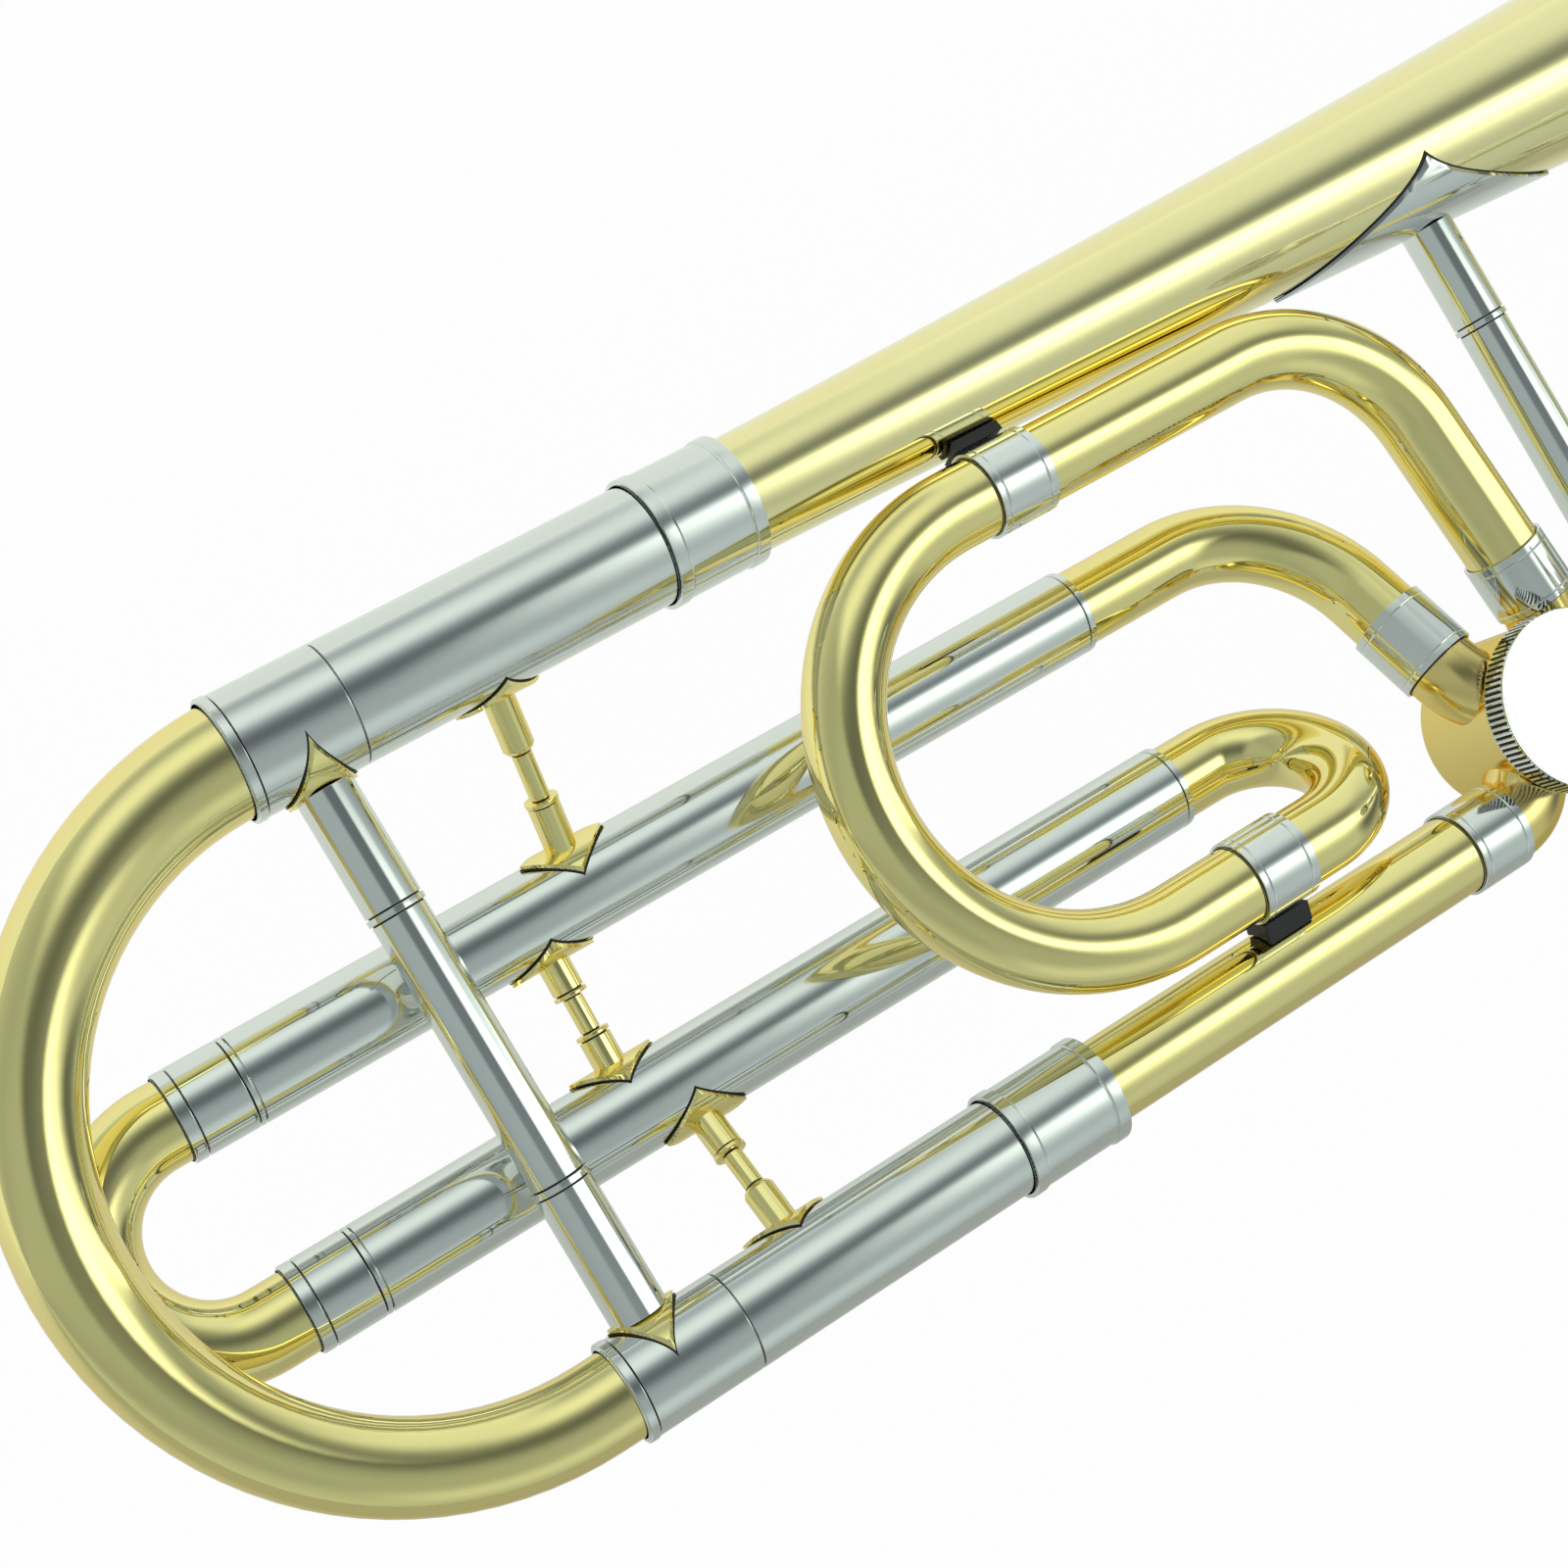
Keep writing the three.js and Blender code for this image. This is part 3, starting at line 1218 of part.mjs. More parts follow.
// The tenon fits the receiver, and its front end is the barrel that the slide closes into
const barrelEndX = barrelStartX + barrelLength;
const barrelBore = slideOuterRadius + clearance;
function slideTenon() {
  const bore = slideBore / 2;
  const socket = slideInnerRadius + clearance;
  return turned([
    [-tenonLength, bore], [tenonSocketX, bore], [tenonSocketX, socket],
    [barrelFloorX, socket], [barrelFloorX, barrelBore], [barrelEndX, barrelBore],
    [barrelEndX, barrelRadius], [barrelStartX, barrelRadius],
    [barrelStartX - barrelTaperLength, tenonNeckRadius],
    [tenonCollarX + tenonCollarLength, tenonNeckRadius],
    [tenonCollarX + tenonCollarLength, tenonCollarRadius], [tenonCollarX, tenonCollarRadius],
    [tenonCollarX, tenonRadius - clearance], [-tenonLength, tenonRadius - tenonTaper],
  ]);
}
place("slide_tenon", slideTenon(), nickelSilver);

// The lock nut turns round the tenon's collar and draws it on to the receiver's thread
function lockNut() {
  const x0 = -receiverThreadLength + clearance;
  const x1 = x0 + lockNutLength;
  const lip = tenonCollarX + tenonCollarLength + clearance;
  const room = turned([
    [x0 - overrun, 0], [x1 + overrun, 0], [x1 + overrun, tenonNeckRadius + clearance],
    [lip, tenonNeckRadius + clearance], [lip, receiverThreadRadius + clearance],
    [x0 - overrun, receiverThreadRadius + clearance],
  ]);
  return shapeOf(knurledBand(lockNutRadius, lockNutKnurls, knurlDepth * 2, x0, x1)
    .subtract(solid(room)));
}
place("lock_nut", lockNut(), nickelSilver);

place("mouthpiece_receiver", turned([
  [mouthReceiverX, mouthpieceShankRadius + clearance],
  [mouthReceiverX + mouthpieceInsert + clearance, mouthpieceTipRadius + clearance],
  [tenonSocketX, mouthpieceTipRadius + clearance],
  [tenonSocketX, slideInnerRadius + clearance], [barrelFloorX, slideInnerRadius + clearance],
  [barrelFloorX, barrelBore], [barrelEndX, barrelBore], [barrelEndX, barrelRadius],
  [barrelStartX, barrelRadius], [barrelStartX - barrelTaperLength, mouthReceiverRadius],
  [mouthReceiverX + mouthReceiverCollar, mouthReceiverRadius],
  [mouthReceiverX + mouthReceiverCollar, mouthpieceReceiverRadius],
  [mouthReceiverX, mouthpieceReceiverRadius],
]), nickelSilver, 0, 0, slideSpacing);

// Inner tubes, with the slightly thicker stockings at their far ends
function innerTube() {
  const start = tenonSocketX + clearance;
  const stocking = slideInnerRadius + stockingStep;
  const step = innerTubeEndX - stockingLength;
  return turned([
    [start, slideBore / 2], [innerTubeEndX, slideBore / 2], [innerTubeEndX, stocking],
    [step, stocking], [step, slideInnerRadius], [start, slideInnerRadius],
  ]);
}
place("lower_inner_tube", innerTube(), chromedBrass);
place("upper_inner_tube", innerTube(), chromedBrass, 0, 0, slideSpacing);

// A brace between the two sides of the slide, with a collar round each side's tube
function slideBrace({ braceRadius, tubeRadius, collarRadius, collarLength }) {
  const bar = rod(0, slideSpacing, braceRadius, tubeSides).rotateY(-Math.PI / 2);
  let body = solid(bar);
  const half = collarLength / 2;
  for (const z of [0, slideSpacing]) {
    body = body.add(solid(rod(-half, half, collarRadius, tubeSides).translate(0, 0, z)));
  }
  for (const z of [0, slideSpacing]) {
    body = body.subtract(solid(rod(-collarLength, collarLength, tubeRadius + clearance, tubeSides)
      .translate(0, 0, z)));
  }
  return shapeOf(body);
}
place("inner_brace", slideBrace({
  braceRadius: innerBraceRadius, tubeRadius: barrelRadius, collarRadius: innerCollarRadius,
  collarLength: innerCollarLength }), nickelSilver, innerBraceX);
place("outer_brace", slideBrace({
  braceRadius: outerBraceRadius, tubeRadius: slideOuterRadius,
  collarRadius: handleCollarRadius, collarLength: handleCollarLength }), nickelSilver,
outerBraceX);

const outerTube = sleeve(outerTubeStartX, outerTubeEndX, slideOuterBore, slideOuterRadius);
place("lower_outer_tube", outerTube, lacqueredBrass);
place("upper_outer_tube", outerTube.clone(), lacqueredBrass, 0, 0, slideSpacing);

// The bow at the slide's end, with a ferrule over each outer tube, the cup that holds the
// bumper, and the water key's nozzle and saddle
const bowFerruleX = outerTubeEndX - endFerruleLap;
const bowFerruleEndX = bowFerruleX + endFerruleLength;
const bowRadius = endBowBore / 2 + tubeWall;
const bowBend = slideSpacing / 2;
const bumperSeatX = endBowCentreX + bowBend + bowRadius;
const nozzleTipZ = -bowRadius - nozzleHeight;

function endBow() {
  const start = outerTubeEndX + clearance;
  const route = roundedRoute([
    at(bowFerruleX), at(endBowCentreX + bowBend), at(endBowCentreX + bowBend, 0, slideSpacing),
    at(bowFerruleX, 0, slideSpacing),
  ], bowBend, bowSteps);
  let body = solid(sweptTube(route, 0, bowRadius));
  const ferrule = slideOuterRadius + clearance + ferruleWall;
  for (const z of [0, slideSpacing]) {
    body = body.add(solid(rod(bowFerruleX, bowFerruleEndX, ferrule, tubeSides)
      .translate(0, 0, z)));
  }
  const cup = rod(bumperSeatX - overrun, bumperSeatX + bumperCupDepth, bumperBaseRadius,
    tubeSides).translate(0, 0, bowBend);
  const cupHole = rod(bumperSeatX + bumperCupWall, bumperSeatX + 2 * bumperCupDepth,
    bumperBaseRadius - bumperCupWall, tubeSides).translate(0, 0, bowBend);
  body = body.add(solid(cup)).subtract(solid(cupHole));
  body = body.add(post(at(waterKeyX), nozzleTipZ, 0, nozzleRadius));
  for (const side of [-1, 1]) {
    const ear = new THREE.BoxGeometry(2 * earHalfWidth, earThickness, -keyPivotZ);
    ear.translate(keyPivotX, side * earOffset, keyPivotZ / 2 - earHalfWidth / 2);
    body = body.add(solid(ear));
  }
  const pinHole = rod(-2 * earOffset, 2 * earOffset, keyPinRadius + clearance)
    .rotateZ(Math.PI / 2).translate(keyPivotX, 0, keyPivotZ);
  body = body.subtract(solid(pinHole));
  body = body.subtract(solid(sweptTube(route, 0, endBowBore / 2)));
  for (const z of [0, slideSpacing]) {
    body = body.subtract(solid(rod(bowFerruleX - overrun, start,
      slideOuterRadius + clearance, tubeSides).translate(0, 0, z)));
  }
  return shapeOf(body.subtract(post(at(waterKeyX), nozzleTipZ - overrun, 0, nozzleBore)));
}
place("end_bow", endBow(), lacqueredBrass);

place("bumper", turned([
  [bumperSeatX + bumperCupWall + clearance, 0], [bumperSeatX + bumperLength, 0],
  [bumperSeatX + bumperLength, bumperTipRadius],
  [bumperSeatX + bumperLength - bumperCupWall, bumperBaseRadius - bumperCupWall - clearance],
  [bumperSeatX + bumperCupWall + clearance, bumperBaseRadius - bumperCupWall - clearance],
]), blackRubber, 0, 0, bowBend);

// The water key: a sprung lever whose pad closes the nozzle under the bow
function waterKey() {
  const padTop = nozzleTipZ - clearance;
  const arm = new THREE.BoxGeometry(
    Math.abs(keyTipX - waterKeyX), 2 * keyArmHalfWidth, keyArmThickness);
  arm.translate((keyTipX + waterKeyX) / 2, 0, padTop - keyPadThickness - keyArmThickness / 2);
  const pin = rod(-earOffset - earThickness, earOffset + earThickness, keyPinRadius)
    .rotateZ(Math.PI / 2).translate(keyPivotX, 0, keyPivotZ);
  const hub = rod(-keyArmHalfWidth, keyArmHalfWidth, keyHubRadius)
    .rotateZ(Math.PI / 2).translate(keyPivotX, 0, keyPivotZ);
  return shapeOf(solid(arm)
    .add(post(at(waterKeyX), padTop - keyPadThickness - keyArmThickness, padTop, keyPadRadius))
    .add(post(at(keyTipX), padTop - keyPadThickness - keyArmThickness, padTop - keyPadThickness,
      keyPadRadius))
    .add(solid(pin)).add(solid(hub)));
}
place("water_key", waterKey(), lacqueredBrass);

// The lock ring turns on the lower barrel, and its tab catches the outer slide's collar
function slideLockRing() {
  const ring = sleeve(lockRingX, lockRingX + lockRingLength, barrelRadius + clearance,
    lockRingRadius);
  const tab = new THREE.BoxGeometry(
    lockRingTabLength + lockRingLength, lockRingTabWidth, lockRingRadius - barrelRadius
      - clearance);
  tab.translate(
    lockRingX + (lockRingLength + lockRingTabLength) / 2, 0,
    -(lockRingRadius + barrelRadius + clearance) / 2);
  const trim = rod(lockRingX - overrun, lockRingX + 2 * lockRingLength,
    barrelRadius + clearance, tubeSides);
  return shapeOf(solid(ring).add(solid(tab)).subtract(solid(trim)));
}
place("slide_lock_ring", slideLockRing(), nickelSilver);

// Mouthpiece: rim, cup, throat and backbore in one turned piece
function mouthpiece() {
  const tip = mouthReceiverX + mouthpieceInsert;
  const rim = tip - mouthpieceLength;
  const throat = rim + mouthpieceCupDepth;
  const outside = [
    [tip, mouthpieceTipRadius], [mouthReceiverX, mouthpieceShankRadius],
    [rim + mouthpieceBowlLength * bowlNeckShare, mouthpieceShankRadius * shankSwellShare],
    [rim + mouthpieceBowlLength, mouthpieceShankRadius * bowlFootShare],
    [rim + mouthpieceBowlLength * bowlWaistShare, mouthpieceRimRadius * bowlWaistRadiusShare],
    [rim + rimThickness, mouthpieceRimRadius * rimNeckShare],
    [rim + rimThickness, mouthpieceRimRadius], [rim + rimRound, mouthpieceRimRadius],
    [rim, mouthpieceRimRadius - rimRound],
  ];
  const inside = [
    [rim, mouthpieceCupRadius + rimRound], [rim + rimRound, mouthpieceCupRadius],
    [rim + mouthpieceCupDepth * cupWallShare, mouthpieceCupRadius * cupWaistShare],
    [throat, mouthpieceThroatRadius], [throat + throatLength, mouthpieceThroatRadius],
    [tip, mouthpieceTipRadius - mouthpieceTipWall],
  ];
  return turned([...outside, ...inside], 2 * smallSides);
}
place("mouthpiece", mouthpiece(), silverPlate, 0, 0, slideSpacing);

export default trombone;
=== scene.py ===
import math

import bmesh
import bpy
from mathutils import Matrix, Vector


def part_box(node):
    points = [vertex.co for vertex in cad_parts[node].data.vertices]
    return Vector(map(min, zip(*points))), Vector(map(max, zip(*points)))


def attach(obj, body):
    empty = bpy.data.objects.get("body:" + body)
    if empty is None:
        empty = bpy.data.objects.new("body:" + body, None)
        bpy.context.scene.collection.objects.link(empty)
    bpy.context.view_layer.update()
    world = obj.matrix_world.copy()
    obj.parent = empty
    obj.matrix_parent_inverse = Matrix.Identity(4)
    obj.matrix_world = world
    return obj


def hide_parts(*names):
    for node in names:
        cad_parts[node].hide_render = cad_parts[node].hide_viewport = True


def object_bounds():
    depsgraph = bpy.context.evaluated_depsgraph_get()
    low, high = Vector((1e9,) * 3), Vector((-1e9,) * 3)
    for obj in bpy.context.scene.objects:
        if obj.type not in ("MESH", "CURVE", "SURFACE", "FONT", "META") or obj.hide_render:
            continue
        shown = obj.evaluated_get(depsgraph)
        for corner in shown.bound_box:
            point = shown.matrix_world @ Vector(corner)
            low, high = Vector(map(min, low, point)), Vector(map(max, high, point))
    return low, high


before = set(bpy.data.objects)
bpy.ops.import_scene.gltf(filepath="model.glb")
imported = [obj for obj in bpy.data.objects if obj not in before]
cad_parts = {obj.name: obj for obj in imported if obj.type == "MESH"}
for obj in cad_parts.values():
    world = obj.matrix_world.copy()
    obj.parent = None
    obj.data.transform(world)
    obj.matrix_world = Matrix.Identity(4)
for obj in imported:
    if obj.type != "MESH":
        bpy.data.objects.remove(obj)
cad_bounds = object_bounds()

# The view: from behind and above the bell section, with the bell line running to the upper
# right. A lens a little longer than normal, held half a metre over the tubes.
lens = 0.0627
sensor_width = 0.036
camera_place = (-0.46039, 0.08583, 0.45384)
camera_turn = (-0.07115254, 0.35689589, 0.50652493)  # axis times angle, world to camera

bpy.ops.object.select_all(action="DESELECT")
bpy.ops.object.camera_add(location=camera_place)
camera = bpy.context.object
turn_axis = Vector(camera_turn)
camera.rotation_mode = "QUATERNION"
camera.rotation_quaternion = Matrix.Rotation(-turn_axis.length, 3, turn_axis).to_quaternion()
camera.data.sensor_width = sensor_width * 1000
camera.data.lens = lens * 1000
camera.data.clip_start = 0.01
bpy.context.scene.camera = camera
bpy.context.scene.view_settings.view_transform = "Standard"

# The floor: one wide sheet of white paper, a little under the bell's rim. To the camera it glows
# almost evenly, so hardly a shadow shows. Metal mirrors only a painted glow from it, with
# painted shade on its near side and painted light on its far side.
floor_gap = 0.004
floor_size = 12.0
floor_white = (0.93, 0.93, 0.93, 1)
floor_roughness = 0.9
floor_sheen = 0.1
full_white = (1, 1, 1, 1)
floor_glow = 0.97
painted_near_shade_in_metal = (0.41, 0.44, 0.40, 1)
painted_far_light_in_metal = (0.84, 0.90, 0.82, 1)
painted_shade_reach = (-0.12, 0.18)


def feed(tree, node, sources):
    """Links other nodes' outputs to a node's inputs, or sets the inputs to plain values"""
    for key, source in sources.items():
        if isinstance(source, bpy.types.NodeSocket):
            tree.links.new(source, node.inputs[key])
        else:
            node.inputs[key].default_value = source


def add_node(tree, kind, sources, **settings):
    """Adds a node of a kind with its settings, and feeds its inputs"""
    node = tree.nodes.new(kind)
    for name, value in settings.items():
        setattr(node, name, value)
    feed(tree, node, sources)
    return node


def mix_colours(tree, share, near, far):
    """Two colours mixed by a share"""
    mix = add_node(
        tree, "ShaderNodeMix", {"Factor": share, 6: near, 7: far}, data_type="RGBA")
    return mix.outputs[2]


bpy.ops.mesh.primitive_plane_add(size=floor_size, location=(0, 0, cad_bounds[0][2] - floor_gap))
floor = bpy.context.object
floor.name = "floor_sheet"
bpy.ops.object.transform_apply(location=True, rotation=True, scale=True)
paper = bpy.data.materials.new("white_paper")
paper.use_nodes = True
paper_tree = paper.node_tree
paper_shader = paper_tree.nodes["Principled BSDF"]
feed(paper_tree, paper_shader, {
    "Base Color": floor_white, "Roughness": floor_roughness, "Specular IOR Level": floor_sheen})
paper_sight = paper_tree.nodes.new("ShaderNodeLightPath")
paper_place = paper_tree.nodes.new("ShaderNodeTexCoord")
paper_split = add_node(paper_tree, "ShaderNodeSeparateXYZ", {0: paper_place.outputs["Object"]})
paper_across = add_node(paper_tree, "ShaderNodeMapRange", {
    "Value": paper_split.outputs["Y"], "From Min": painted_shade_reach[0],
    "From Max": painted_shade_reach[1]})
# What metal mirrors of the floor is painted: a glow that darkens towards the near side as
# painted shade.
painted_paper_in_metal = mix_colours(
    paper_tree, paper_across.outputs[0], painted_near_shade_in_metal, painted_far_light_in_metal)
paper_glow = add_node(paper_tree, "ShaderNodeEmission", {
    "Color": mix_colours(
        paper_tree, paper_sight.outputs["Is Glossy Ray"], full_white, painted_paper_in_metal)})
paper_share = add_node(
    paper_tree, "ShaderNodeMath",
    {0: paper_sight.outputs["Is Camera Ray"], 1: floor_glow,
     2: paper_sight.outputs["Is Glossy Ray"]}, operation="MULTIPLY_ADD")
paper_mix = add_node(paper_tree, "ShaderNodeMixShader", {
    "Fac": paper_share.outputs[0], 1: paper_shader.outputs[0], 2: paper_glow.outputs[0]})
feed(paper_tree, paper_tree.nodes["Material Output"], {"Surface": paper_mix.outputs[0]})
floor.data.materials.append(paper)

# The light: a tent of pale cloth over the table. Overhead it has a dull panel that shows as the
# dark band on every tube, with brighter cloth towards its ends and down its sides. The camera
# itself sees a plain pale wall there. One weak lamp stands to the side.
tent = bpy.data.worlds.new("light_tent")
bpy.context.scene.world = tent
tent.use_nodes = True
tent_tree = tent.node_tree
tent_direction = tent_tree.nodes.new("ShaderNodeTexCoord")
tent_split = add_node(
    tent_tree, "ShaderNodeSeparateXYZ", {0: tent_direction.outputs["Generated"]})
tent_angle = add_node(
    tent_tree, "ShaderNodeMath", {0: tent_split.outputs["Y"], 1: tent_split.outputs["Z"]},
    operation="ARCTAN2")
tent_across = add_node(tent_tree, "ShaderNodeMapRange", {
    "Value": tent_angle.outputs[0], "From Min": -math.pi, "From Max": math.pi})
tent_brightest = 2.6
wall_white = (0.97, 0.97, 0.97, 1)
dull_tint = Vector((0.85, 1.0, 1.05))
bright_tint = Vector((0.90, 1.0, 0.92))


def cloth(stops):
    """Cloth whose light changes across the tent, from (degrees off the top, light) pairs"""
    node = add_node(tent_tree, "ShaderNodeValToRGB", {0: tent_across.outputs[0]})
    node.color_ramp.interpolation = "B_SPLINE"
    elements = node.color_ramp.elements
    elements.remove(elements[-1])
    for count, (angle, light) in enumerate(stops):
        share = (angle + 180) / 360
        stop = elements[0] if count == 0 else elements.new(share)
        stop.position = share
        tint = dull_tint.lerp(bright_tint, min(light, 1))
        stop.color = (*(light / tent_brightest * tint), 1)
    return node.outputs["Color"]


def fade(low, high):
    """How far along the tent a direction points, from 0 at the low angle to 1 at the high one"""
    node = add_node(
        tent_tree, "ShaderNodeMapRange",
        {"Value": tent_split.outputs["X"], "From Min": math.sin(math.radians(low)),
         "From Max": math.sin(math.radians(high))}, interpolation_type="SMOOTHSTEP")
    return node.outputs[0]


tail_cloth = cloth([
    (-180, 0.70), (-110, 0.62), (-80, 0.58), (-62, 0.52), (-48, 0.42), (-36, 0.41),
    (-20, 0.44), (0, 0.49), (20, 0.48), (40, 0.41), (60, 0.46), (80, 0.52), (110, 0.70),
    (180, 0.70)])
rear_cloth = cloth([
    (-180, 0.80), (-120, 0.66), (-96, 0.50), (-84, 0.55), (-72, 0.74), (-60, 0.70),
    (-48, 0.46), (-36, 0.46), (-24, 0.45), (-13, 0.36), (-5, 0.24), (4, 0.15), (12, 0.17),
    (20, 0.28), (28, 0.52), (36, 0.86), (44, 1.00), (52, 0.96), (60, 0.84), (68, 0.62),
    (78, 0.42), (90, 0.82), (107, 0.98), (130, 0.85), (180, 0.80)])
front_cloth = cloth([
    (-180, 0.80), (-120, 0.60), (-92, 0.48), (-76, 0.60), (-60, 0.60), (-46, 0.58),
    (-36, 0.72), (-28, 1.05), (-20, 1.50), (-12, 1.95), (-5, 2.15), (-1, 1.80), (4, 0.90),
    (10, 0.30), (18, 0.24), (27, 0.40), (36, 0.66), (46, 0.84), (60, 0.88), (76, 0.88),
    (90, 1.00), (130, 0.90), (180, 0.80)])
nose_cloth = cloth([
    (-180, 0.80), (-110, 0.55), (-84, 0.34), (-66, 0.18), (-52, 0.14), (-43, 0.20),
    (-35, 0.42), (-27, 0.95), (-18, 1.70), (-10, 1.80), (-3, 1.10), (4, 0.50), (14, 0.40),
    (24, 0.40), (34, 0.50), (46, 0.68), (60, 0.78), (76, 0.84), (100, 0.95), (130, 0.90),
    (180, 0.80)])
tent_back = mix_colours(tent_tree, fade(-27, -11), tail_cloth, rear_cloth)
tent_middle = mix_colours(tent_tree, fade(14, 27), tent_back, front_cloth)
tent_whole = mix_colours(tent_tree, fade(40, 56), tent_middle, nose_cloth)
tent_glow = tent_tree.nodes["Background"]
feed(tent_tree, tent_glow, {"Color": tent_whole, "Strength": tent_brightest})
paper_wall = add_node(tent_tree, "ShaderNodeBackground", {"Color": wall_white})
tent_sight = tent_tree.nodes.new("ShaderNodeLightPath")
tent_or_wall = add_node(tent_tree, "ShaderNodeMixShader", {
    "Fac": tent_sight.outputs["Is Camera Ray"], 1: tent_glow.outputs[0],
    2: paper_wall.outputs[0]})
feed(tent_tree, tent_tree.nodes["World Output"], {"Surface": tent_or_wall.outputs[0]})

lamp_power = 1.5
lamp_size = 0.9
lamp_place = (-0.5, -0.75, 1.25)
lamp_aim = (0.25, 0.85, -1.25)
bpy.ops.object.light_add(type="AREA", location=lamp_place)
lamp = bpy.context.object
lamp.name = "side_lamp"
lamp.data.energy = lamp_power
lamp.data.size = lamp_size
lamp.rotation_euler = Vector(lamp_aim).to_track_quat("-Z", "Y").to_euler()
lamp.visible_glossy = False


# The bell: thin sheet brass, spun on a mandrel from the narrow tail to the wide mouth, where
# its edge is rolled over a wire. It is polished and covered with clear lacquer.
def blank_material(name, slot):
    """A material with its slot noted, its nodes and its shader"""
    material = bpy.data.materials.new(name)
    material["slot"] = slot
    material.use_nodes = True
    return material, material.node_tree, material.node_tree.nodes["Principled BSDF"]


def noise(tree, place, scale, detail):
    """A pattern of noise over a place"""
    return add_node(tree, "ShaderNodeTexNoise", {
        "Vector": place, "Scale": scale, "Detail": detail}).outputs["Fac"]


def metal(name, slot, light_tone, deep_tone, roughness, coat=0.0, edge=1.0):
    """A polished metal with faint clouding, wiping marks and fine grain, all in its own space"""
    material, tree, shader = blank_material(name, slot)
    place = tree.nodes.new("ShaderNodeTexCoord").outputs["Object"]
    along = add_node(
        tree, "ShaderNodeMapping", {"Vector": place, "Scale": (0.25, 1, 1)}).outputs[0]
    clouds = noise(tree, place, scale=34, detail=4)
    wiping = noise(tree, along, scale=90, detail=6)
    grain = noise(tree, along, scale=220, detail=3)
    gloss = add_node(tree, "ShaderNodeMapRange", {
        "Value": wiping, "From Min": 0.3, "From Max": 0.75, "To Min": roughness * 0.75,
        "To Max": roughness * 1.35})
    relief = add_node(
        tree, "ShaderNodeBump", {"Strength": 0.02, "Distance": 0.0004, "Height": grain})
    feed(tree, shader, {
        "Metallic": 1.0, "Specular Tint": (1, 1 - (1 - edge) / 3, edge, 1),
        "Coat Weight": coat, "Coat Roughness": 0.04,
        "Base Color": mix_colours(tree, clouds, light_tone, deep_tone),
        "Roughness": gloss.outputs[0], "Normal": relief.outputs[0]})
    return material


brass = metal(
    "polished_brass", "lacquered_brass", (0.96, 0.86, 0.44, 1), (0.94, 0.83, 0.40, 1), 0.045,
    coat=1.0, edge=0.85)


def add_ring(place, radius, heading=(1, 0, 0), sides=64):
    """Adds a circle that faces along a heading, and opens it for editing"""
    bpy.ops.object.select_all(action="DESELECT")
    turn = Vector(heading).to_track_quat("Z", "Y").to_euler()
    bpy.ops.mesh.primitive_circle_add(
        vertices=sides, radius=radius, location=place, rotation=turn)
    bpy.ops.object.transform_apply(location=True, rotation=True, scale=True)
    bpy.ops.object.mode_set(mode="EDIT")
    bpy.ops.mesh.select_all(action="SELECT")
    return bpy.context.object


def run_out(step):
    """Draws the selected ring out by a step"""
    bpy.ops.mesh.extrude_region_move(TRANSFORM_OT_translate={"value": tuple(step)})


def select_rings(obj, *counts, sides=64):
    """Selects whole rings by their place in the order of making, the last one as -1"""
    mesh = bmesh.from_edit_mesh(obj.data)
    mesh.verts.ensure_lookup_table()
    rings = len(mesh.verts) // sides
    bpy.ops.mesh.select_all(action="DESELECT")
    for count in counts:
        first = (count % rings) * sides
        for vertex in mesh.verts[first:first + sides]:
            vertex.select = True
    mesh.select_flush(True)
    bmesh.update_edit_mesh(obj.data)


def apply_bevel(obj, width, angle=28, segments=2):
    """Eases a piece's sharp edges"""
    ease = obj.modifiers.new("ease", "BEVEL")
    ease.width = width
    ease.segments = segments
    ease.limit_method = "ANGLE"
    ease.angle_limit = math.radians(angle)
    bpy.ops.object.modifier_apply(modifier=ease.name)


def smooth_skin(obj, angle=40):
    """Smooths a skin up to an angle, with the broad faces setting its normals"""
    bpy.ops.object.shade_smooth_by_angle(angle=math.radians(angle))
    settle = obj.modifiers.new("settle", "WEIGHTED_NORMAL")
    settle.keep_sharp = True
    bpy.ops.object.modifier_apply(modifier=settle.name)


def close_ends(obj, sides):
    """Closes a skin's first and last rings with a face each"""
    for end in (0, -1):
        select_rings(obj, end, sides=sides)
        bpy.ops.mesh.edge_face_add()


def faces_out():
    """Turns every face outwards and leaves edit mode"""
    bpy.ops.mesh.select_all(action="SELECT")
    bpy.ops.mesh.normals_make_consistent(inside=False)
    bpy.ops.object.mode_set(mode="OBJECT")


def close_up(obj, bevel):
    """Leaves edit mode with the faces outwards, the edges eased and the skin smooth"""
    faces_out()
    if bevel:
        apply_bevel(obj, bevel)
        smooth_skin(obj)
    else:
        bpy.ops.object.shade_smooth_by_angle(angle=math.radians(40))


def pick(*objects):
    """Selects some objects alone, with the first one active"""
    bpy.ops.object.select_all(action="DESELECT")
    for obj in objects:
        obj.select_set(True)
    bpy.context.view_layer.objects.active = objects[0]


def lay(obj, place, heading=(1, 0, 0)):
    """Lays a piece that was made along X at the origin to a place and a heading"""
    turn = Vector((1, 0, 0)).rotation_difference(Vector(heading).normalized())
    obj.matrix_world = Matrix.Translation(place) @ turn.to_matrix().to_4x4()
    pick(obj)
    bpy.ops.object.transform_apply(location=True, rotation=True, scale=True)
    return obj


groove_depth = 0.0005
groove_width = 0.0003


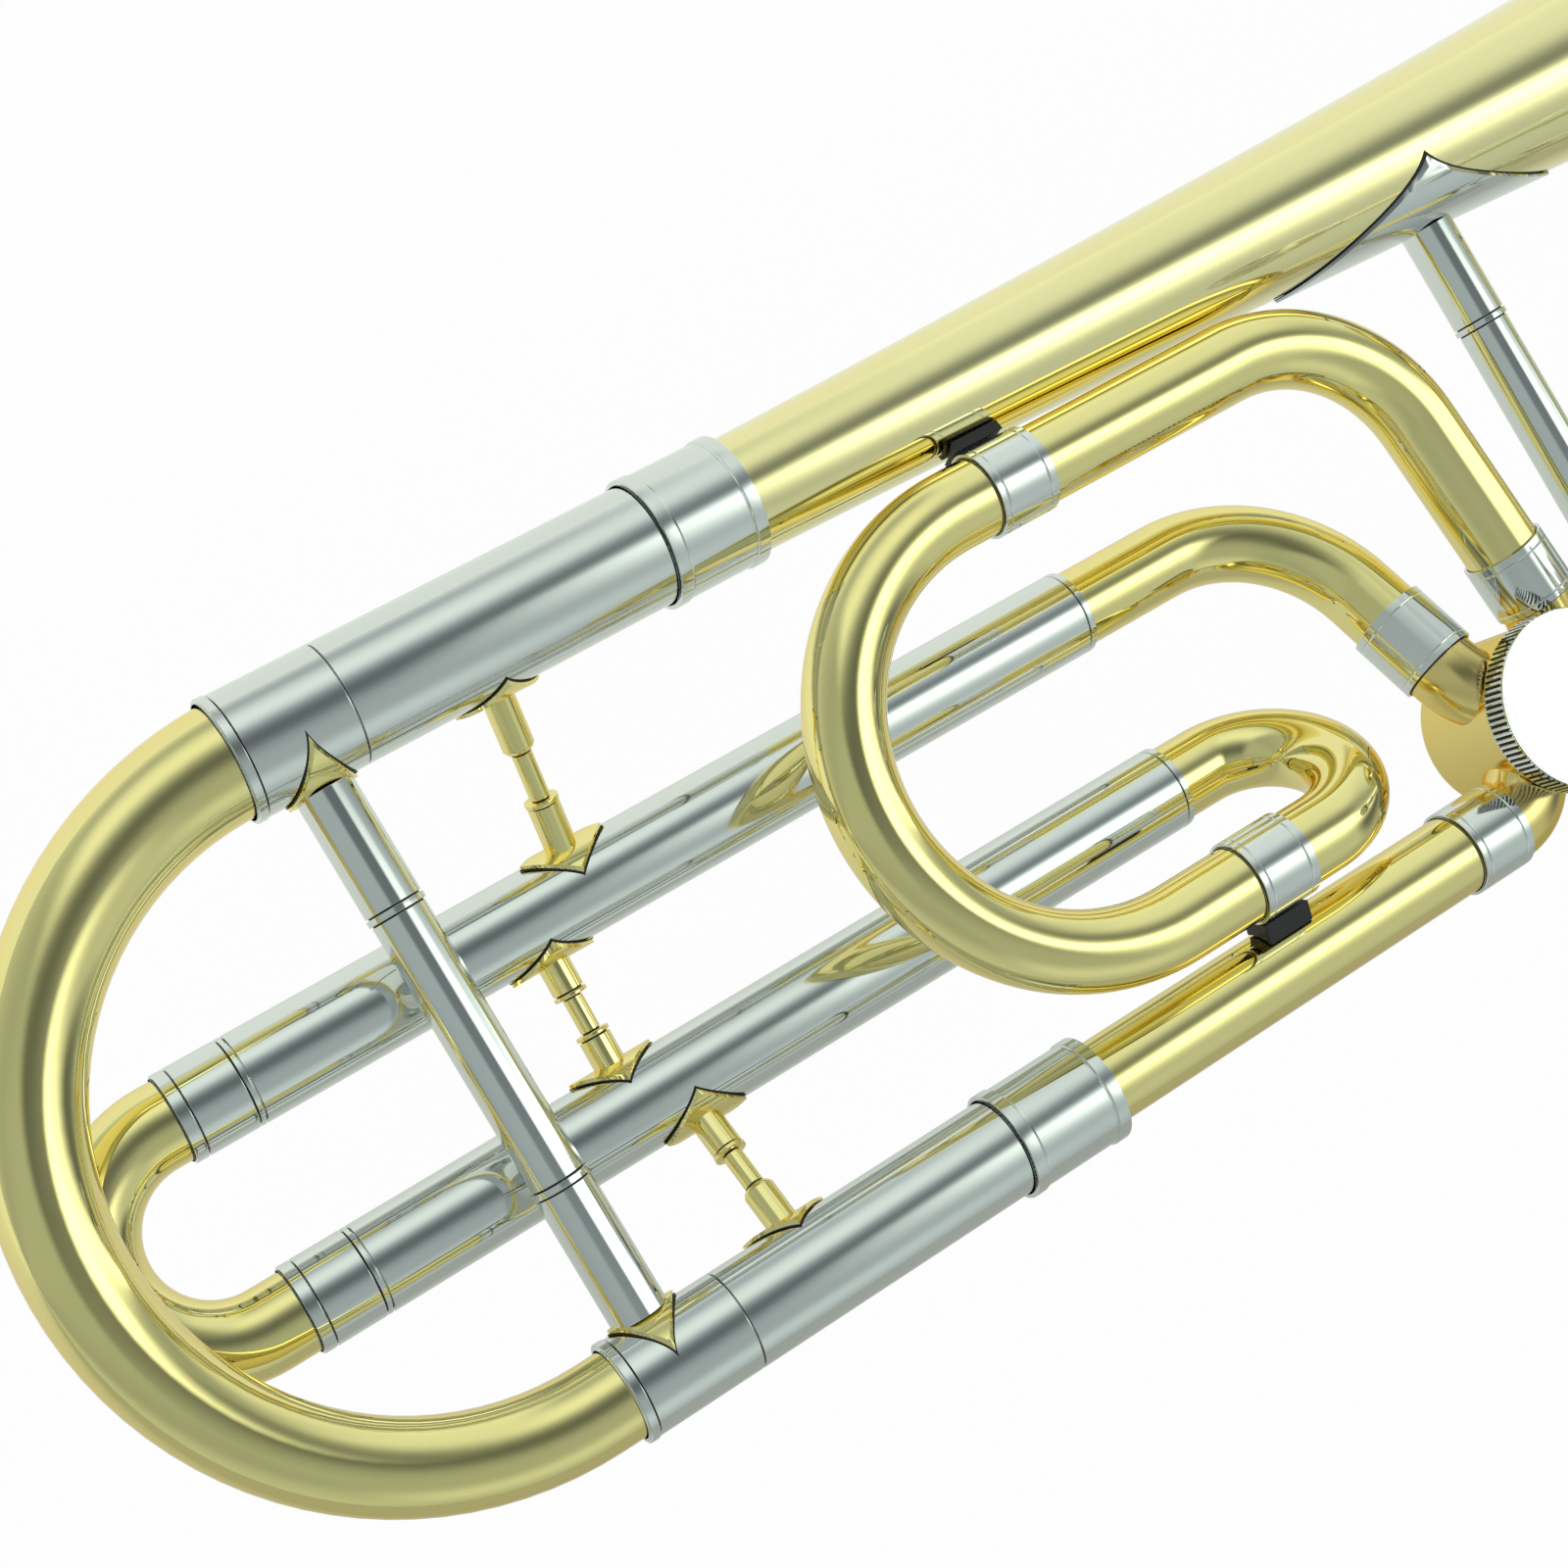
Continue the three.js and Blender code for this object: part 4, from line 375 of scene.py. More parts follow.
def mark_grooves(obj, outline, sides, dark):
    """Marks the faces in each narrow groove of an outline, and in the named stretches of it, for
    painted shade
    """
    mesh = bmesh.from_edit_mesh(obj.data)
    mark = mesh.faces.layers.int.new("groove")
    mesh.faces.ensure_lookup_table()
    radii = [outline[0][1] + groove_depth] + [radius for _, radius in outline]
    radii.append(outline[-1][1] + groove_depth)
    for count, ((x, radius), (next_x, next_radius)) in enumerate(zip(outline, outline[1:])):
        narrow = 0 < abs(next_x - x) < 1.5 * groove_width and radius == next_radius
        if count in dark or narrow and radius < min(radii[count], radii[count + 3]):
            for face in mesh.faces[count * sides:(count + 1) * sides]:
                face[mark] = 1
    bmesh.update_edit_mesh(obj.data)


def turned(outline, line=(0, 0), bevel=0.00012, hollow=True, sides=64, dark=()):
    """Turns a piece along X from an outline of (x, radius), as a wall or as a solid rod"""
    y, z = line
    x, radius = outline[0]
    obj = add_ring((x, y, z), radius, sides=sides)
    for next_x, next_radius in outline[1:]:
        run_out((next_x - x, 0, 0))
        grow = next_radius / radius
        bpy.ops.transform.resize(value=(1, grow, grow), center_override=(next_x, y, z))
        x, radius = next_x, next_radius
    mark_grooves(obj, outline, sides, dark)
    if hollow:
        select_rings(obj, 0, -1, sides=sides)
        bpy.ops.mesh.bridge_edge_loops()
    else:
        close_ends(obj, sides)
    close_up(obj, bevel)
    return obj


def finish(obj, name, material, body, *nodes):
    """Gives a finished piece its name, metal and body, and the CAD nodes that it stands for"""
    obj.name = name
    obj.data.name = name
    obj.data.materials.clear()
    obj.data.materials.append(material)
    # Faces marked as grooves take the near-black material: dark solder and painted shade.
    marks = obj.data.attributes.get("groove")
    if marks:
        values = [mark.value for mark in marks.data]
        obj.data.attributes.remove(marks)
        if any(values):
            obj.data.materials.append(solder_and_painted_shade)
            obj.data.polygons.foreach_set("material_index", values)
    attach(obj, body)
    if nodes:
        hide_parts(*nodes)
    return obj


def line_of(node):
    """(start, end, (y, z), radius) of a node that lies along X, from its box"""
    low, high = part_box(node)
    middle = ((low[1] + high[1]) / 2, (low[2] + high[2]) / 2)
    return low[0], high[0], middle, (high[2] - low[2]) / 2


bell_start, bell_end, bell_line, _ = line_of("bell")
bell_wire = 0.0017
bell_wall = 0.0006
bell_flare_reach = 0.0243
bell_flare_power = 0.776
bell_rim_x = bell_end - 2 * bell_wire
bell_rim_radius = 0.108
bell_steps = 46


def bell_radius(x):
    reach = bell_flare_reach / (bell_rim_x - x + bell_flare_reach)
    return bell_rim_radius * reach ** bell_flare_power


def bell_stations(start, end, steps, margin=0.0):
    """Places along the bell's skin, closer together towards the mouth"""
    shares = [1 - (1 - n / steps) ** 2 for n in range(steps + 1)]
    xs = [start + (end - start) * share for share in shares]
    return [(x, bell_radius(x) + margin) for x in xs]


wire_centre = bell_rim_radius - bell_wire / 2
wire_turns = [math.radians(-45 + 22.5 * n) for n in range(9)]
rim_roll = [
    (bell_rim_x + bell_wire * (1 + math.sin(turn)), wire_centre + bell_wire * math.cos(turn))
    for turn in wire_turns]
bell_skin = bell_stations(bell_start, bell_rim_x, bell_steps)
bell_lining = bell_stations(bell_start, bell_rim_x, bell_steps, -bell_wall)[::-1]
bell = turned(bell_skin + rim_roll + bell_lining, bell_line, bevel=0, sides=96)
finish(bell, "spun_bell", brass, "bell_section", "bell")


# Outer slide tubes and the ferrules on the tails: drawn nickel silver, paler and harder than
# brass. Each ferrule is turned with a raised band and a fine groove at its ends, and soldered.
nickel = metal(
    "drawn_nickel", "nickel_silver", (0.80, 0.81, 0.79, 1), (0.75, 0.77, 0.75, 1), 0.065)


def matt(name, slot, light_tone, deep_tone, roughness):
    """A dull moulded or cut surface with fine pitting"""
    material, tree, shader = blank_material(name, slot)
    place = tree.nodes.new("ShaderNodeTexCoord").outputs["Object"]
    pitting = noise(tree, place, scale=900, detail=5)
    gloss = add_node(tree, "ShaderNodeMapRange", {
        "Value": pitting, "To Min": roughness * 0.8, "To Max": roughness * 1.2})
    relief = add_node(
        tree, "ShaderNodeBump", {"Strength": 0.25, "Distance": 0.0002, "Height": pitting})
    feed(tree, shader, {
        "Base Color": mix_colours(tree, pitting, light_tone, deep_tone),
        "Roughness": gloss.outputs[0], "Normal": relief.outputs[0]})
    return material


# A near-black material for narrow grooves, ferrule ends, the lines under plate edges and the
# cap's rib valleys: partly dark solder, partly painted shade where little light gets in.
solder_and_painted_shade = matt(
    "solder_and_painted_groove_shade", "nickel_silver", (0.010, 0.009, 0.008, 1), (0.022, 0.019, 0.015, 1), 0.6)
band_height = 0.00035
band_length = 0.0024
line_width = 0.0004
line_depth = 0.00012
tube_wall = 0.0005
fit_gap = 0.0003
main_bell_radius = 0.01145
main_neck_radius = 0.009325
neck_tube_radius = 0.00805
bell_ferrule_lap = 0.0063
neck_ferrule_lap = 0.0093


def band(x, radius, side, length=band_length):
    """The raised band at an end of a ferrule, from the end inwards: side is 1 or -1"""
    edge = x + side * length
    return [
        (x, radius + band_height), (edge, radius + band_height),
        (edge + side * line_width / 2, radius - line_depth), (edge + side * line_width, radius)]


def solder_and_shade_line(x, radius, bore):
    """The start of a ferrule, where its solder and painted shade show as a dark line round the
    tube
    """
    return [(x, bore), (x, radius - groove_depth), (x + groove_width, radius - groove_depth)]


def sleeve_of(node, name, material, body="bell_section", wall=tube_wall, marks=0):
    """A tube in the place of a CAD tube that lies along X, with a groove marked off its end"""
    start, end, line, radius = line_of(node)
    ring = [(start, radius - wall), (start, radius)]
    if marks:
        ring += grooved([end - marks - groove_width], radius)
    ring += [(end, radius), (end, radius - wall)]
    return finish(turned(ring, line), name, material, body, node)


def grooved(edges, radius):
    """An even skin with a narrow groove after each edge"""
    outline = []
    for edge in edges:
        far = edge + groove_width
        outline += [
            (edge, radius), (edge, radius - groove_depth), (far, radius - groove_depth),
            (far, radius)]
    return outline


sleeve_of("bell_side_slide_tube", "bell_side_outer_tube", nickel)
sleeve_of("neck_side_slide_tube", "neck_side_outer_tube", nickel)


def tail_ferrule(node, name, lap, tail_radius):
    """A ferrule that laps over an outer slide tube's end and steps in to the tail's radius"""
    start, end, line, reach = line_of(node)
    radius = reach - band_height
    step = start + lap
    bore = tail_radius + fit_gap
    ferrule = turned(
        solder_and_shade_line(start, radius, radius - tube_wall) + band(start + groove_width, radius, 1)
        + band(end, radius, -1)[::-1]
        + [(end, bore), (step, bore), (step, radius - tube_wall)], line, dark=(1,))
    finish(ferrule, name, nickel, "bell_section", node)


bell_tail_radius = bell_radius(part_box("bell_ferrule")[1][0])
tail_ferrule("bell_ferrule", "bell_tail_ferrule", bell_ferrule_lap, bell_tail_radius)
tail_ferrule("neck_ferrule", "neck_tail_ferrule", neck_ferrule_lap, neck_tube_radius)


# Main tuning slide: a brass crook that widens towards the bell, with a nickel silver leg on
# each end. A leg is a ferrule that takes the crook and a thin inner tube that slides.
tube_brass = metal(
    "drawn_brass", "lacquered_brass", (0.95, 0.83, 0.36, 1), (0.93, 0.80, 0.31, 1), 0.05,
    coat=1.0, edge=0.4)
bell_leg_radius = 0.01065
neck_leg_radius = 0.008525
crook_neck_radius = 0.0082
leg_band = 0.0016
leg_band_height = 0.00022
socket_depth = 0.009
bell_leg_ferrule = 0.0212
neck_leg_ferrule = 0.0232


def slide_leg(node, outer_radius, leg_radius, bow_radius, ferrule_length, seat_depth, bands):
    """A slide's leg: the ferrule with its bands and grooves, then the inner tube"""
    start, end, line, reach = line_of(node)
    shoulder = start + ferrule_length
    leg_bore = leg_radius - tube_wall
    socket = bow_radius + fit_gap
    outline = [(start, socket)] + bands(start, shoulder, outer_radius)
    outline += [(shoulder, leg_radius), (end, leg_radius), (end, leg_bore)]
    seat = start + seat_depth
    return turned(outline + [(seat, leg_bore), (seat, socket)], line)


def main_leg_bands(start, shoulder, radius):
    """A narrow ring at the crook's end, set off by a groove on each side"""
    low = radius - groove_depth
    near = start + groove_width
    far = near + leg_band
    return [
        (start, low), (near, low), (near, radius + leg_band_height),
        (far, radius + leg_band_height), (far, low), (far + groove_width, low),
        (far + groove_width, radius), (shoulder, radius)]


bell_leg = slide_leg(
    "tuning_bell_leg", main_bell_radius, bell_leg_radius, bell_leg_radius, bell_leg_ferrule,
    socket_depth, main_leg_bands)
finish(bell_leg, "tuning_slide_bell_leg", nickel, "tuning_slide", "tuning_bell_leg")
neck_leg = slide_leg(
    "tuning_neck_leg", main_neck_radius, neck_leg_radius, crook_neck_radius, neck_leg_ferrule,
    socket_depth, main_leg_bands)
finish(neck_leg, "tuning_slide_neck_leg", nickel, "tuning_slide", "tuning_neck_leg")

neck_line = line_of("neck_tube")[2]
crook_middle = -0.373
crook_bend = (bell_line[0] - neck_line[0]) / 2
crook_swell = 2.5
crook_steps = 48
crook_neck_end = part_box("tuning_neck_leg")[0][0] + socket_depth - fit_gap
crook_bell_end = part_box("tuning_bell_leg")[0][0] + socket_depth - fit_gap
crook_lead = crook_neck_end - crook_middle
crook_length = crook_lead + math.pi * crook_bend + crook_bell_end - crook_middle


def crook_radius(way):
    return crook_neck_radius + (bell_leg_radius - crook_neck_radius) * (
        way / crook_length) ** crook_swell


crook = add_ring((crook_neck_end, *neck_line), crook_neck_radius, (-1, 0, 0))
radius, way = crook_neck_radius, crook_lead
run_out((-crook_lead, 0, 0))
bend_centre = Vector((crook_middle, neck_line[0] + crook_bend, neck_line[1]))
for count in range(1, crook_steps + 1):
    bpy.ops.mesh.extrude_region_move()
    bpy.ops.transform.rotate(
        value=math.pi / crook_steps, orient_axis="Z", center_override=bend_centre)
    way += math.pi * crook_bend / crook_steps
    turn = math.pi * count / crook_steps
    ring_centre = bend_centre + crook_bend * Vector((-math.sin(turn), -math.cos(turn), 0))
    grow = crook_radius(way) / radius
    bpy.ops.transform.resize(value=(grow, grow, grow), center_override=ring_centre)
    radius *= grow
run_out((crook_bell_end - crook_middle, 0, 0))


def wall_in(obj, wall, bevel=0.0001):
    """Closes an open tube skin with a wall on its inner side"""
    bpy.ops.mesh.select_all(action="SELECT")
    bpy.ops.mesh.remove_doubles(threshold=0.000001)
    faces_out()
    skin = obj.modifiers.new("wall", "SOLIDIFY")
    skin.thickness = wall
    skin.offset = -1
    bpy.ops.object.modifier_apply(modifier=skin.name)
    apply_bevel(obj, bevel, angle=60, segments=1)
    smooth_skin(obj)


wall_in(crook, tube_wall)
finish(crook, "main_tuning_crook", tube_brass, "tuning_slide", "tuning_crook")


# The tuning slide's brace: a nickel silver rod in two long sockets, each with a raised ring.
# A cut brass plate with four points and full sides seats each end on its ferrule.
plate_thickness = 0.0007
plate_gap = 0.0001
plate_overrun = 0.002
plate_edge = 0.0002
seam_width = 0.0003
plate_sides = 64


def cut_plate(half_length, half_width, depth, bulge):
    """A four-pointed blank with full sides, standing on the XZ plane and raised along Y"""
    obj = add_ring((0, 0, 0), half_length, (0, 1, 0), sides=plate_sides)
    bpy.ops.transform.resize(value=(1, 1, half_width / half_length), center_override=(0, 0, 0))
    quarter = plate_sides // 4
    for count in range(1, quarter // 2 + 1):
        share = count / quarter
        turn = share * math.pi / 2
        straight = 1 / (math.cos(turn) + math.sin(turn))
        grow = straight * (1 + bulge * 4 * share * (1 - share))
        mesh = bmesh.from_edit_mesh(obj.data)
        mesh.verts.ensure_lookup_table()
        bpy.ops.mesh.select_all(action="DESELECT")
        for corner in range(4):
            for near in {count, quarter - count}:
                mesh.verts[(corner * quarter + near) % plate_sides].select = True
        mesh.select_flush(True)
        bmesh.update_edit_mesh(obj.data)
        bpy.ops.transform.resize(value=(grow, grow, grow), center_override=(0, 0, 0))
    bpy.ops.mesh.select_all(action="SELECT")
    bpy.ops.mesh.edge_face_add()
    run_out((0, depth, 0))
    faces_out()
    return obj


def boolean(obj, other, operation):
    """Cuts, joins or trims a piece with another one, which is used up"""
    pick(obj)
    work = obj.modifiers.new("work", "BOOLEAN")
    work.operation = operation
    work.solver = "EXACT"
    work.object = other
    bpy.ops.object.modifier_apply(modifier=work.name)
    bpy.data.objects.remove(other)
    return obj


def bent_plate(tube_radius, half_length, wrap, bulge, height):
    """A cut plate bent over a tube along X, on its +Y side"""
    inner = tube_radius + plate_gap
    reach = half_length + plate_overrun
    shell = turned(
        [(-reach, inner), (-reach, height), (reach, height), (reach, inner)], bevel=0, sides=96)
    blank = cut_plate(half_length, inner * wrap, height + plate_overrun, bulge)
    return boolean(shell, blank, "INTERSECT")


def solder_and_shade_seam(seam):
    """Marks a whole piece for the near-black material, as solder and painted shade under a
    plate's edge
    """
    mark = seam.data.attributes.get("groove") or seam.data.attributes.new(
        "groove", "INT", "FACE")
    mark.data.foreach_set("value", [1] * len(seam.data.polygons))
    return seam


def joined(piece, *others):
    """Joins other pieces to a piece"""
    pick(piece, *others)
    bpy.ops.object.join()
    return piece


def saddle(x, line, tube_radius, half_length, wrap, side, bulge=0.14):
    """A cut plate on its dark line of solder and painted shade, dressed round a tube; side is a
    (y, z) heading
    """
    outer = tube_radius + fit_gap + plate_thickness
    plate = bent_plate(tube_radius, half_length, wrap, bulge, outer)
    apply_bevel(plate, plate_edge, angle=50)
    seam_wrap = math.sin(math.asin(wrap) + seam_width / tube_radius)
    seam = solder_and_shade_seam(bent_plate(
        tube_radius, half_length + seam_width, seam_wrap, bulge, tube_radius + fit_gap))
    joined(plate, seam)
    smooth_skin(plate, 35)
    outwards = Vector((0, *side)).normalized()
    turn = Vector((0, 1, 0)).rotation_difference(outwards)
    if outwards.y < -0.999:
        turn = Matrix.Rotation(math.pi, 3, "X").to_quaternion()
    plate.matrix_world = Matrix.Translation((x, *line)) @ turn.to_matrix().to_4x4()
    bpy.ops.object.transform_apply(location=True, rotation=True, scale=True)
    return plate


brace_rod = 0.0051
brace_socket = 0.00535
brace_ring = 0.0055
brace_ring_length = 0.0012
brace_socket_length = 0.024
brace_foot_extra = 0.0028
leg_plate_length = 0.0066
leg_plate_wrap = 0.975
brace_neck_x = -0.3590
brace_bell_x = -0.3628


def ringed_end(base, length, socket, ring, ring_length, rod):
    """Outline of a strut's socket from its foot to its mouth: a groove, a ring and a gap, the
    groove and the gap painted dark as shade
    """
    mouth = base + length
    edge = mouth - ring_length
    return [
        (base, socket), (edge - groove_width, socket),
        (edge - groove_width, socket - groove_depth), (edge, socket - groove_depth),
        (edge, ring), (mouth, ring), (mouth, rod - groove_depth / 2),
        (mouth + groove_width, rod - groove_depth / 2), (mouth + groove_width, rod)]


def strut(base, head, foot, top):
    """A solid rod along X between the outlines of its foot and, turned about, of its top"""
    turned_about = [(head + base - x, radius) for x, radius in top][::-1]
    return turned(foot + turned_about, hollow=False, sides=48, bevel=0.0001)


def brace_between(base, head, foot_length, top_length):
    """A brace's rod in its two long sockets"""
    ends = [
        ringed_end(base, length, brace_socket, brace_ring, brace_ring_length, brace_rod)
        for length in (foot_length, top_length)]
    return strut(base, head, *ends)


brace_foot = Vector((brace_neck_x, *neck_line))
brace_head = Vector((brace_bell_x, *bell_line))
brace_run = brace_head - brace_foot
brace = brace_between(
    main_neck_radius + fit_gap, brace_run.length - main_bell_radius - fit_gap,
    brace_socket_length + brace_foot_extra, brace_socket_length)
lay(brace, brace_foot, brace_run)
finish(brace, "tuning_slide_brace", nickel, "tuning_slide", "tuning_brace")
neck_plate = saddle(
    brace_neck_x, neck_line, main_neck_radius, leg_plate_length, leg_plate_wrap, (1, 0))
finish(neck_plate, "brace_neck_plate", tube_brass, "tuning_slide", "tuning_brace_neck_flange")
bell_plate = saddle(
    brace_bell_x, bell_line, main_bell_radius, leg_plate_length, leg_plate_wrap, (-1, 0))
finish(bell_plate, "brace_bell_plate", tube_brass, "tuning_slide", "tuning_brace_bell_flange")


# F tuning slide: a small brass bow on two long nickel silver legs, in two outer tubes that lie
# a little below the main tubes. Grooves set off a ring at each end of the ferrules.
f_tube_radius = 0.00765
f_outer_radius = 0.00845
f_ring = 0.0009
f_broad_ring = 0.0023
f_leg_ferrule = 0.0136
f_seat_depth = 0.006
f_socket = 0.0057
f_tube_mark = 0.0013
shortest_run = 0.0001


def drawn(corners, bend, radius, wall=tube_wall, steps=20, sides=48, open_skin=False):
    """A tube drawn along straight runs from corner to corner, bent at each one"""
    corners = [Vector(corner) for corner in corners]
    spot = corners[0]
    heading = (corners[1] - spot).normalized()
    obj = add_ring(spot, radius, heading, sides)
    for corner, beyond in zip(corners[1:-1], corners[2:]):
        onward = (beyond - corner).normalized()
        angle = heading.angle(onward)
        lead = bend * math.tan(angle / 2)
        bend_start = corner - heading * lead
        if (bend_start - spot).length > shortest_run:
            run_out(bend_start - spot)
        axis = heading.cross(onward).normalized()
        centre = bend_start + axis.cross(heading) * bend
        bpy.ops.mesh.spin(steps=steps, angle=angle, center=centre, axis=-axis)
        spot = corner + onward * lead
        heading = onward
    if (corners[-1] - spot).length > shortest_run:
        run_out(corners[-1] - spot)
    if not open_skin:
        wall_in(obj, wall)
    return obj


def f_leg_bands(start, shoulder, radius):
    """A broad ring at the bow's end and a fine one at the tube's end, between grooves"""
    low = radius - groove_depth
    broad = start + groove_width + f_broad_ring
    fine = shoulder - f_ring - groove_width
    return [
        (start, low), (start + groove_width, low), (start + groove_width, radius),
        *grooved((broad, fine), radius), (shoulder, radius)]


for side in ("upper", "lower"):
    leg = slide_leg(
        f"f_slide_{side}_leg", f_outer_radius, f_tube_radius, f_tube_radius, f_leg_ferrule,
        f_seat_depth, f_leg_bands)
    finish(leg, f"f_slide_{side}_inner_leg", nickel, "f_tuning_slide", f"f_slide_{side}_leg")
    sleeve_of(f"f_{side}_outer_tube", f"f_{side}_slide_tube", nickel, marks=f_tube_mark)

f_upper_start, _, f_upper_line, _ = line_of("f_slide_upper_leg")
f_lower_start, _, f_lower_line, _ = line_of("f_slide_lower_leg")
f_bow_bend = (f_upper_line[0] - f_lower_line[0]) / 2
f_bow_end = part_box("f_slide_crook")[0][0] + f_tube_radius
f_bow = drawn([
    (f_upper_start + f_socket, *f_upper_line), (f_bow_end, *f_upper_line),
    (f_bow_end, *f_lower_line), (f_lower_start + f_socket, *f_lower_line)],
    f_bow_bend, f_tube_radius)
finish(f_bow, "f_slide_bow", tube_brass, "f_tuning_slide", "f_slide_crook")


# The neck tube and the F loop: brass tube bent on a mandrel into one open wrap. Short nickel
# silver ferrules with a band at each end join its lengths.
joint_length = 0.0126
joint_line = 0.0015
return_corner_x = -0.1644
return_bend = 0.031
return_joint_shift = 0.0012
return_joint_extra = 0.0016
upper_corner_x = -0.1455
upper_bend = 0.0347
sleeve_of("neck_tube", "neck_line_tube", tube_brass)


def joint(name, node, tube_radius, place, heading, length=joint_length):
    """A ferrule over a joint: dark solder and painted shade show at its first end, a fine line
    near both ends
    """
    bore = tube_radius + fit_gap / 2
    radius = tube_radius + fit_gap + tube_wall
    half = length / 2
    outline = solder_and_shade_line(-half, radius, bore) + [(-half + groove_width, radius)]
    for edge in (-half + joint_line, half - joint_line - line_width):
        outline += [(edge, radius), (edge + line_width / 2, radius - line_depth),
                    (edge + line_width, radius)]
    ferrule = turned(
        outline + [(half, radius), (half, bore)], sides=56, bevel=0.00006, dark=(1,))
    lay(ferrule, place, heading)
    return finish(ferrule, name, nickel, "bell_section", node)


def middle_of(node):
    low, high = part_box(node)
    return tuple((a + b) / 2 for a, b in zip(low, high))


neck_joint = middle_of("valve_neck_ferrule")
joint("neck_valve_ferrule", "valve_neck_ferrule", neck_tube_radius, neck_joint, (1, 0, 0))

loop_upper_joint = middle_of("f_loop_upper_ferrule")
loop_lower_joint = middle_of("f_loop_lower_ferrule")
loop_bend = (loop_upper_joint[1] - loop_lower_joint[1]) / 2
loop_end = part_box("f_loop")[0][0] + f_tube_radius
joint("loop_upper_ferrule", "f_loop_upper_ferrule", f_tube_radius, loop_upper_joint, (1, 0, 0))
joint("loop_lower_ferrule", "f_loop_lower_ferrule", f_tube_radius, loop_lower_joint, (1, 0, 0))
loop = drawn([
    loop_upper_joint, (loop_end, *loop_upper_joint[1:]), (loop_end, *loop_lower_joint[1:]),
    loop_lower_joint], loop_bend, f_tube_radius, steps=30)
finish(loop, "open_loop", tube_brass, "bell_section", "f_loop")

branch_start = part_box("f_return_branch")[0][0]
u_bend_radius = math.dist(loop_lower_joint[1:], f_lower_line) / 2
u_bend_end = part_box("f_u_bend")[1][0] - f_tube_radius
u_bend = drawn([
    loop_lower_joint, (u_bend_end, *loop_lower_joint[1:]), (u_bend_end, *f_lower_line),
    (branch_start, *f_lower_line)], u_bend_radius, f_tube_radius, steps=24)
finish(u_bend, "lower_return_bend", tube_brass, "bell_section", "f_u_bend")

return_corner = (return_corner_x, *f_upper_line)
return_joint = middle_of("f_valve_lower_ferrule")
return_way = (Vector(return_joint) - Vector(return_corner)).normalized()
return_branch = drawn(
    [(branch_start, *f_upper_line), return_corner, return_joint], return_bend, f_tube_radius)
finish(return_branch, "return_branch_tube", tube_brass, "bell_section", "f_return_branch")
joint(
    "return_valve_ferrule", "f_valve_lower_ferrule", f_tube_radius,
    Vector(return_joint) + return_joint_shift * return_way, -return_way,
    joint_length + return_joint_extra)

upper_corner = (upper_corner_x, *loop_upper_joint[1:])
upper_joint = middle_of("f_valve_upper_ferrule")
upper_branch = drawn(
    [loop_upper_joint, upper_corner, upper_joint], upper_bend, f_tube_radius, steps=28)
finish(upper_branch, "upper_branch_tube", tube_brass, "bell_section", "f_upper_branch")
joint(
    "upper_valve_ferrule", "f_valve_upper_ferrule", f_tube_radius, upper_joint,
    Vector(upper_corner) - Vector(upper_joint))


# Small stays: brass rods in ringed brass sockets, each on a four-pointed plate at both ends.
# They hold the F slide's outer tubes to each other and to the main tubes.
stay_rod = 0.0019
stay_socket = 0.0030
stay_ring = 0.00318
stay_socket_share = 0.33
stay_ring_length = 0.0008
stay_round_length = 0.0011
stay_tip_length = 0.0004
stay_plate_length = 0.0085
stay_plate_wrap = 0.8
stay_plate_bulge = 0.08


def plain_end(base, length, socket, rod):
    """Outline of a socket without a ring, rounded in to the rod"""
    mouth = base + length
    return [
        (base, socket), (mouth - stay_round_length, socket),
        (mouth - stay_tip_length, socket * 0.86),
        (mouth, socket * 0.66), (mouth, rod - groove_depth / 4),
        (mouth + groove_width, rod - groove_depth / 4), (mouth + groove_width, rod)]


def stay(node, x, line, tube_radius, far_line, far_radius, plain=""):
    """A stay between two tubes along X, with a plate on each; plain names a ringless end"""
    span = Vector((0, far_line[0] - line[0], far_line[1] - line[1]))
    heading = span.normalized()
    first = tube_radius + fit_gap
    last = span.length - far_radius - fit_gap
    length = (last - first) * stay_socket_share
    ringed = ringed_end(first, length, stay_socket, stay_ring, stay_ring_length, stay_rod)
    ringless = plain_end(first, length * 1.1, stay_socket, stay_rod)
    rod = strut(
        first, last, ringless if plain == "near" else ringed,
        ringless if plain == "far" else ringed)
    lay(rod, (x, *line), heading)
    plates = [
        saddle(x, seat, radius, stay_plate_length, stay_plate_wrap, out[1:], stay_plate_bulge)
        for seat, radius, out in (
            (line, tube_radius, heading), (far_line, far_radius, -heading))]
    joined(rod, *plates)
    return finish(rod, f"{node}_piece", tube_brass, "bell_section", node)


stay("stay_bell", -0.3268, f_upper_line, f_outer_radius, bell_line, main_bell_radius, "far")
stay("stay_centre", -0.3376, f_lower_line, f_outer_radius, f_upper_line, f_outer_radius)
stay("stay_neck", -0.3282, neck_line, main_neck_radius, f_lower_line, f_outer_radius, "near")


# Spacers: small dark blocks between a loop ferrule and the main tube beside it, hollowed to
# sit on both and glued there.
rubber = matt(
    "dark_rubber", "black_rubber", (0.012, 0.011, 0.012, 1), (0.03, 0.028, 0.03, 1), 0.5)


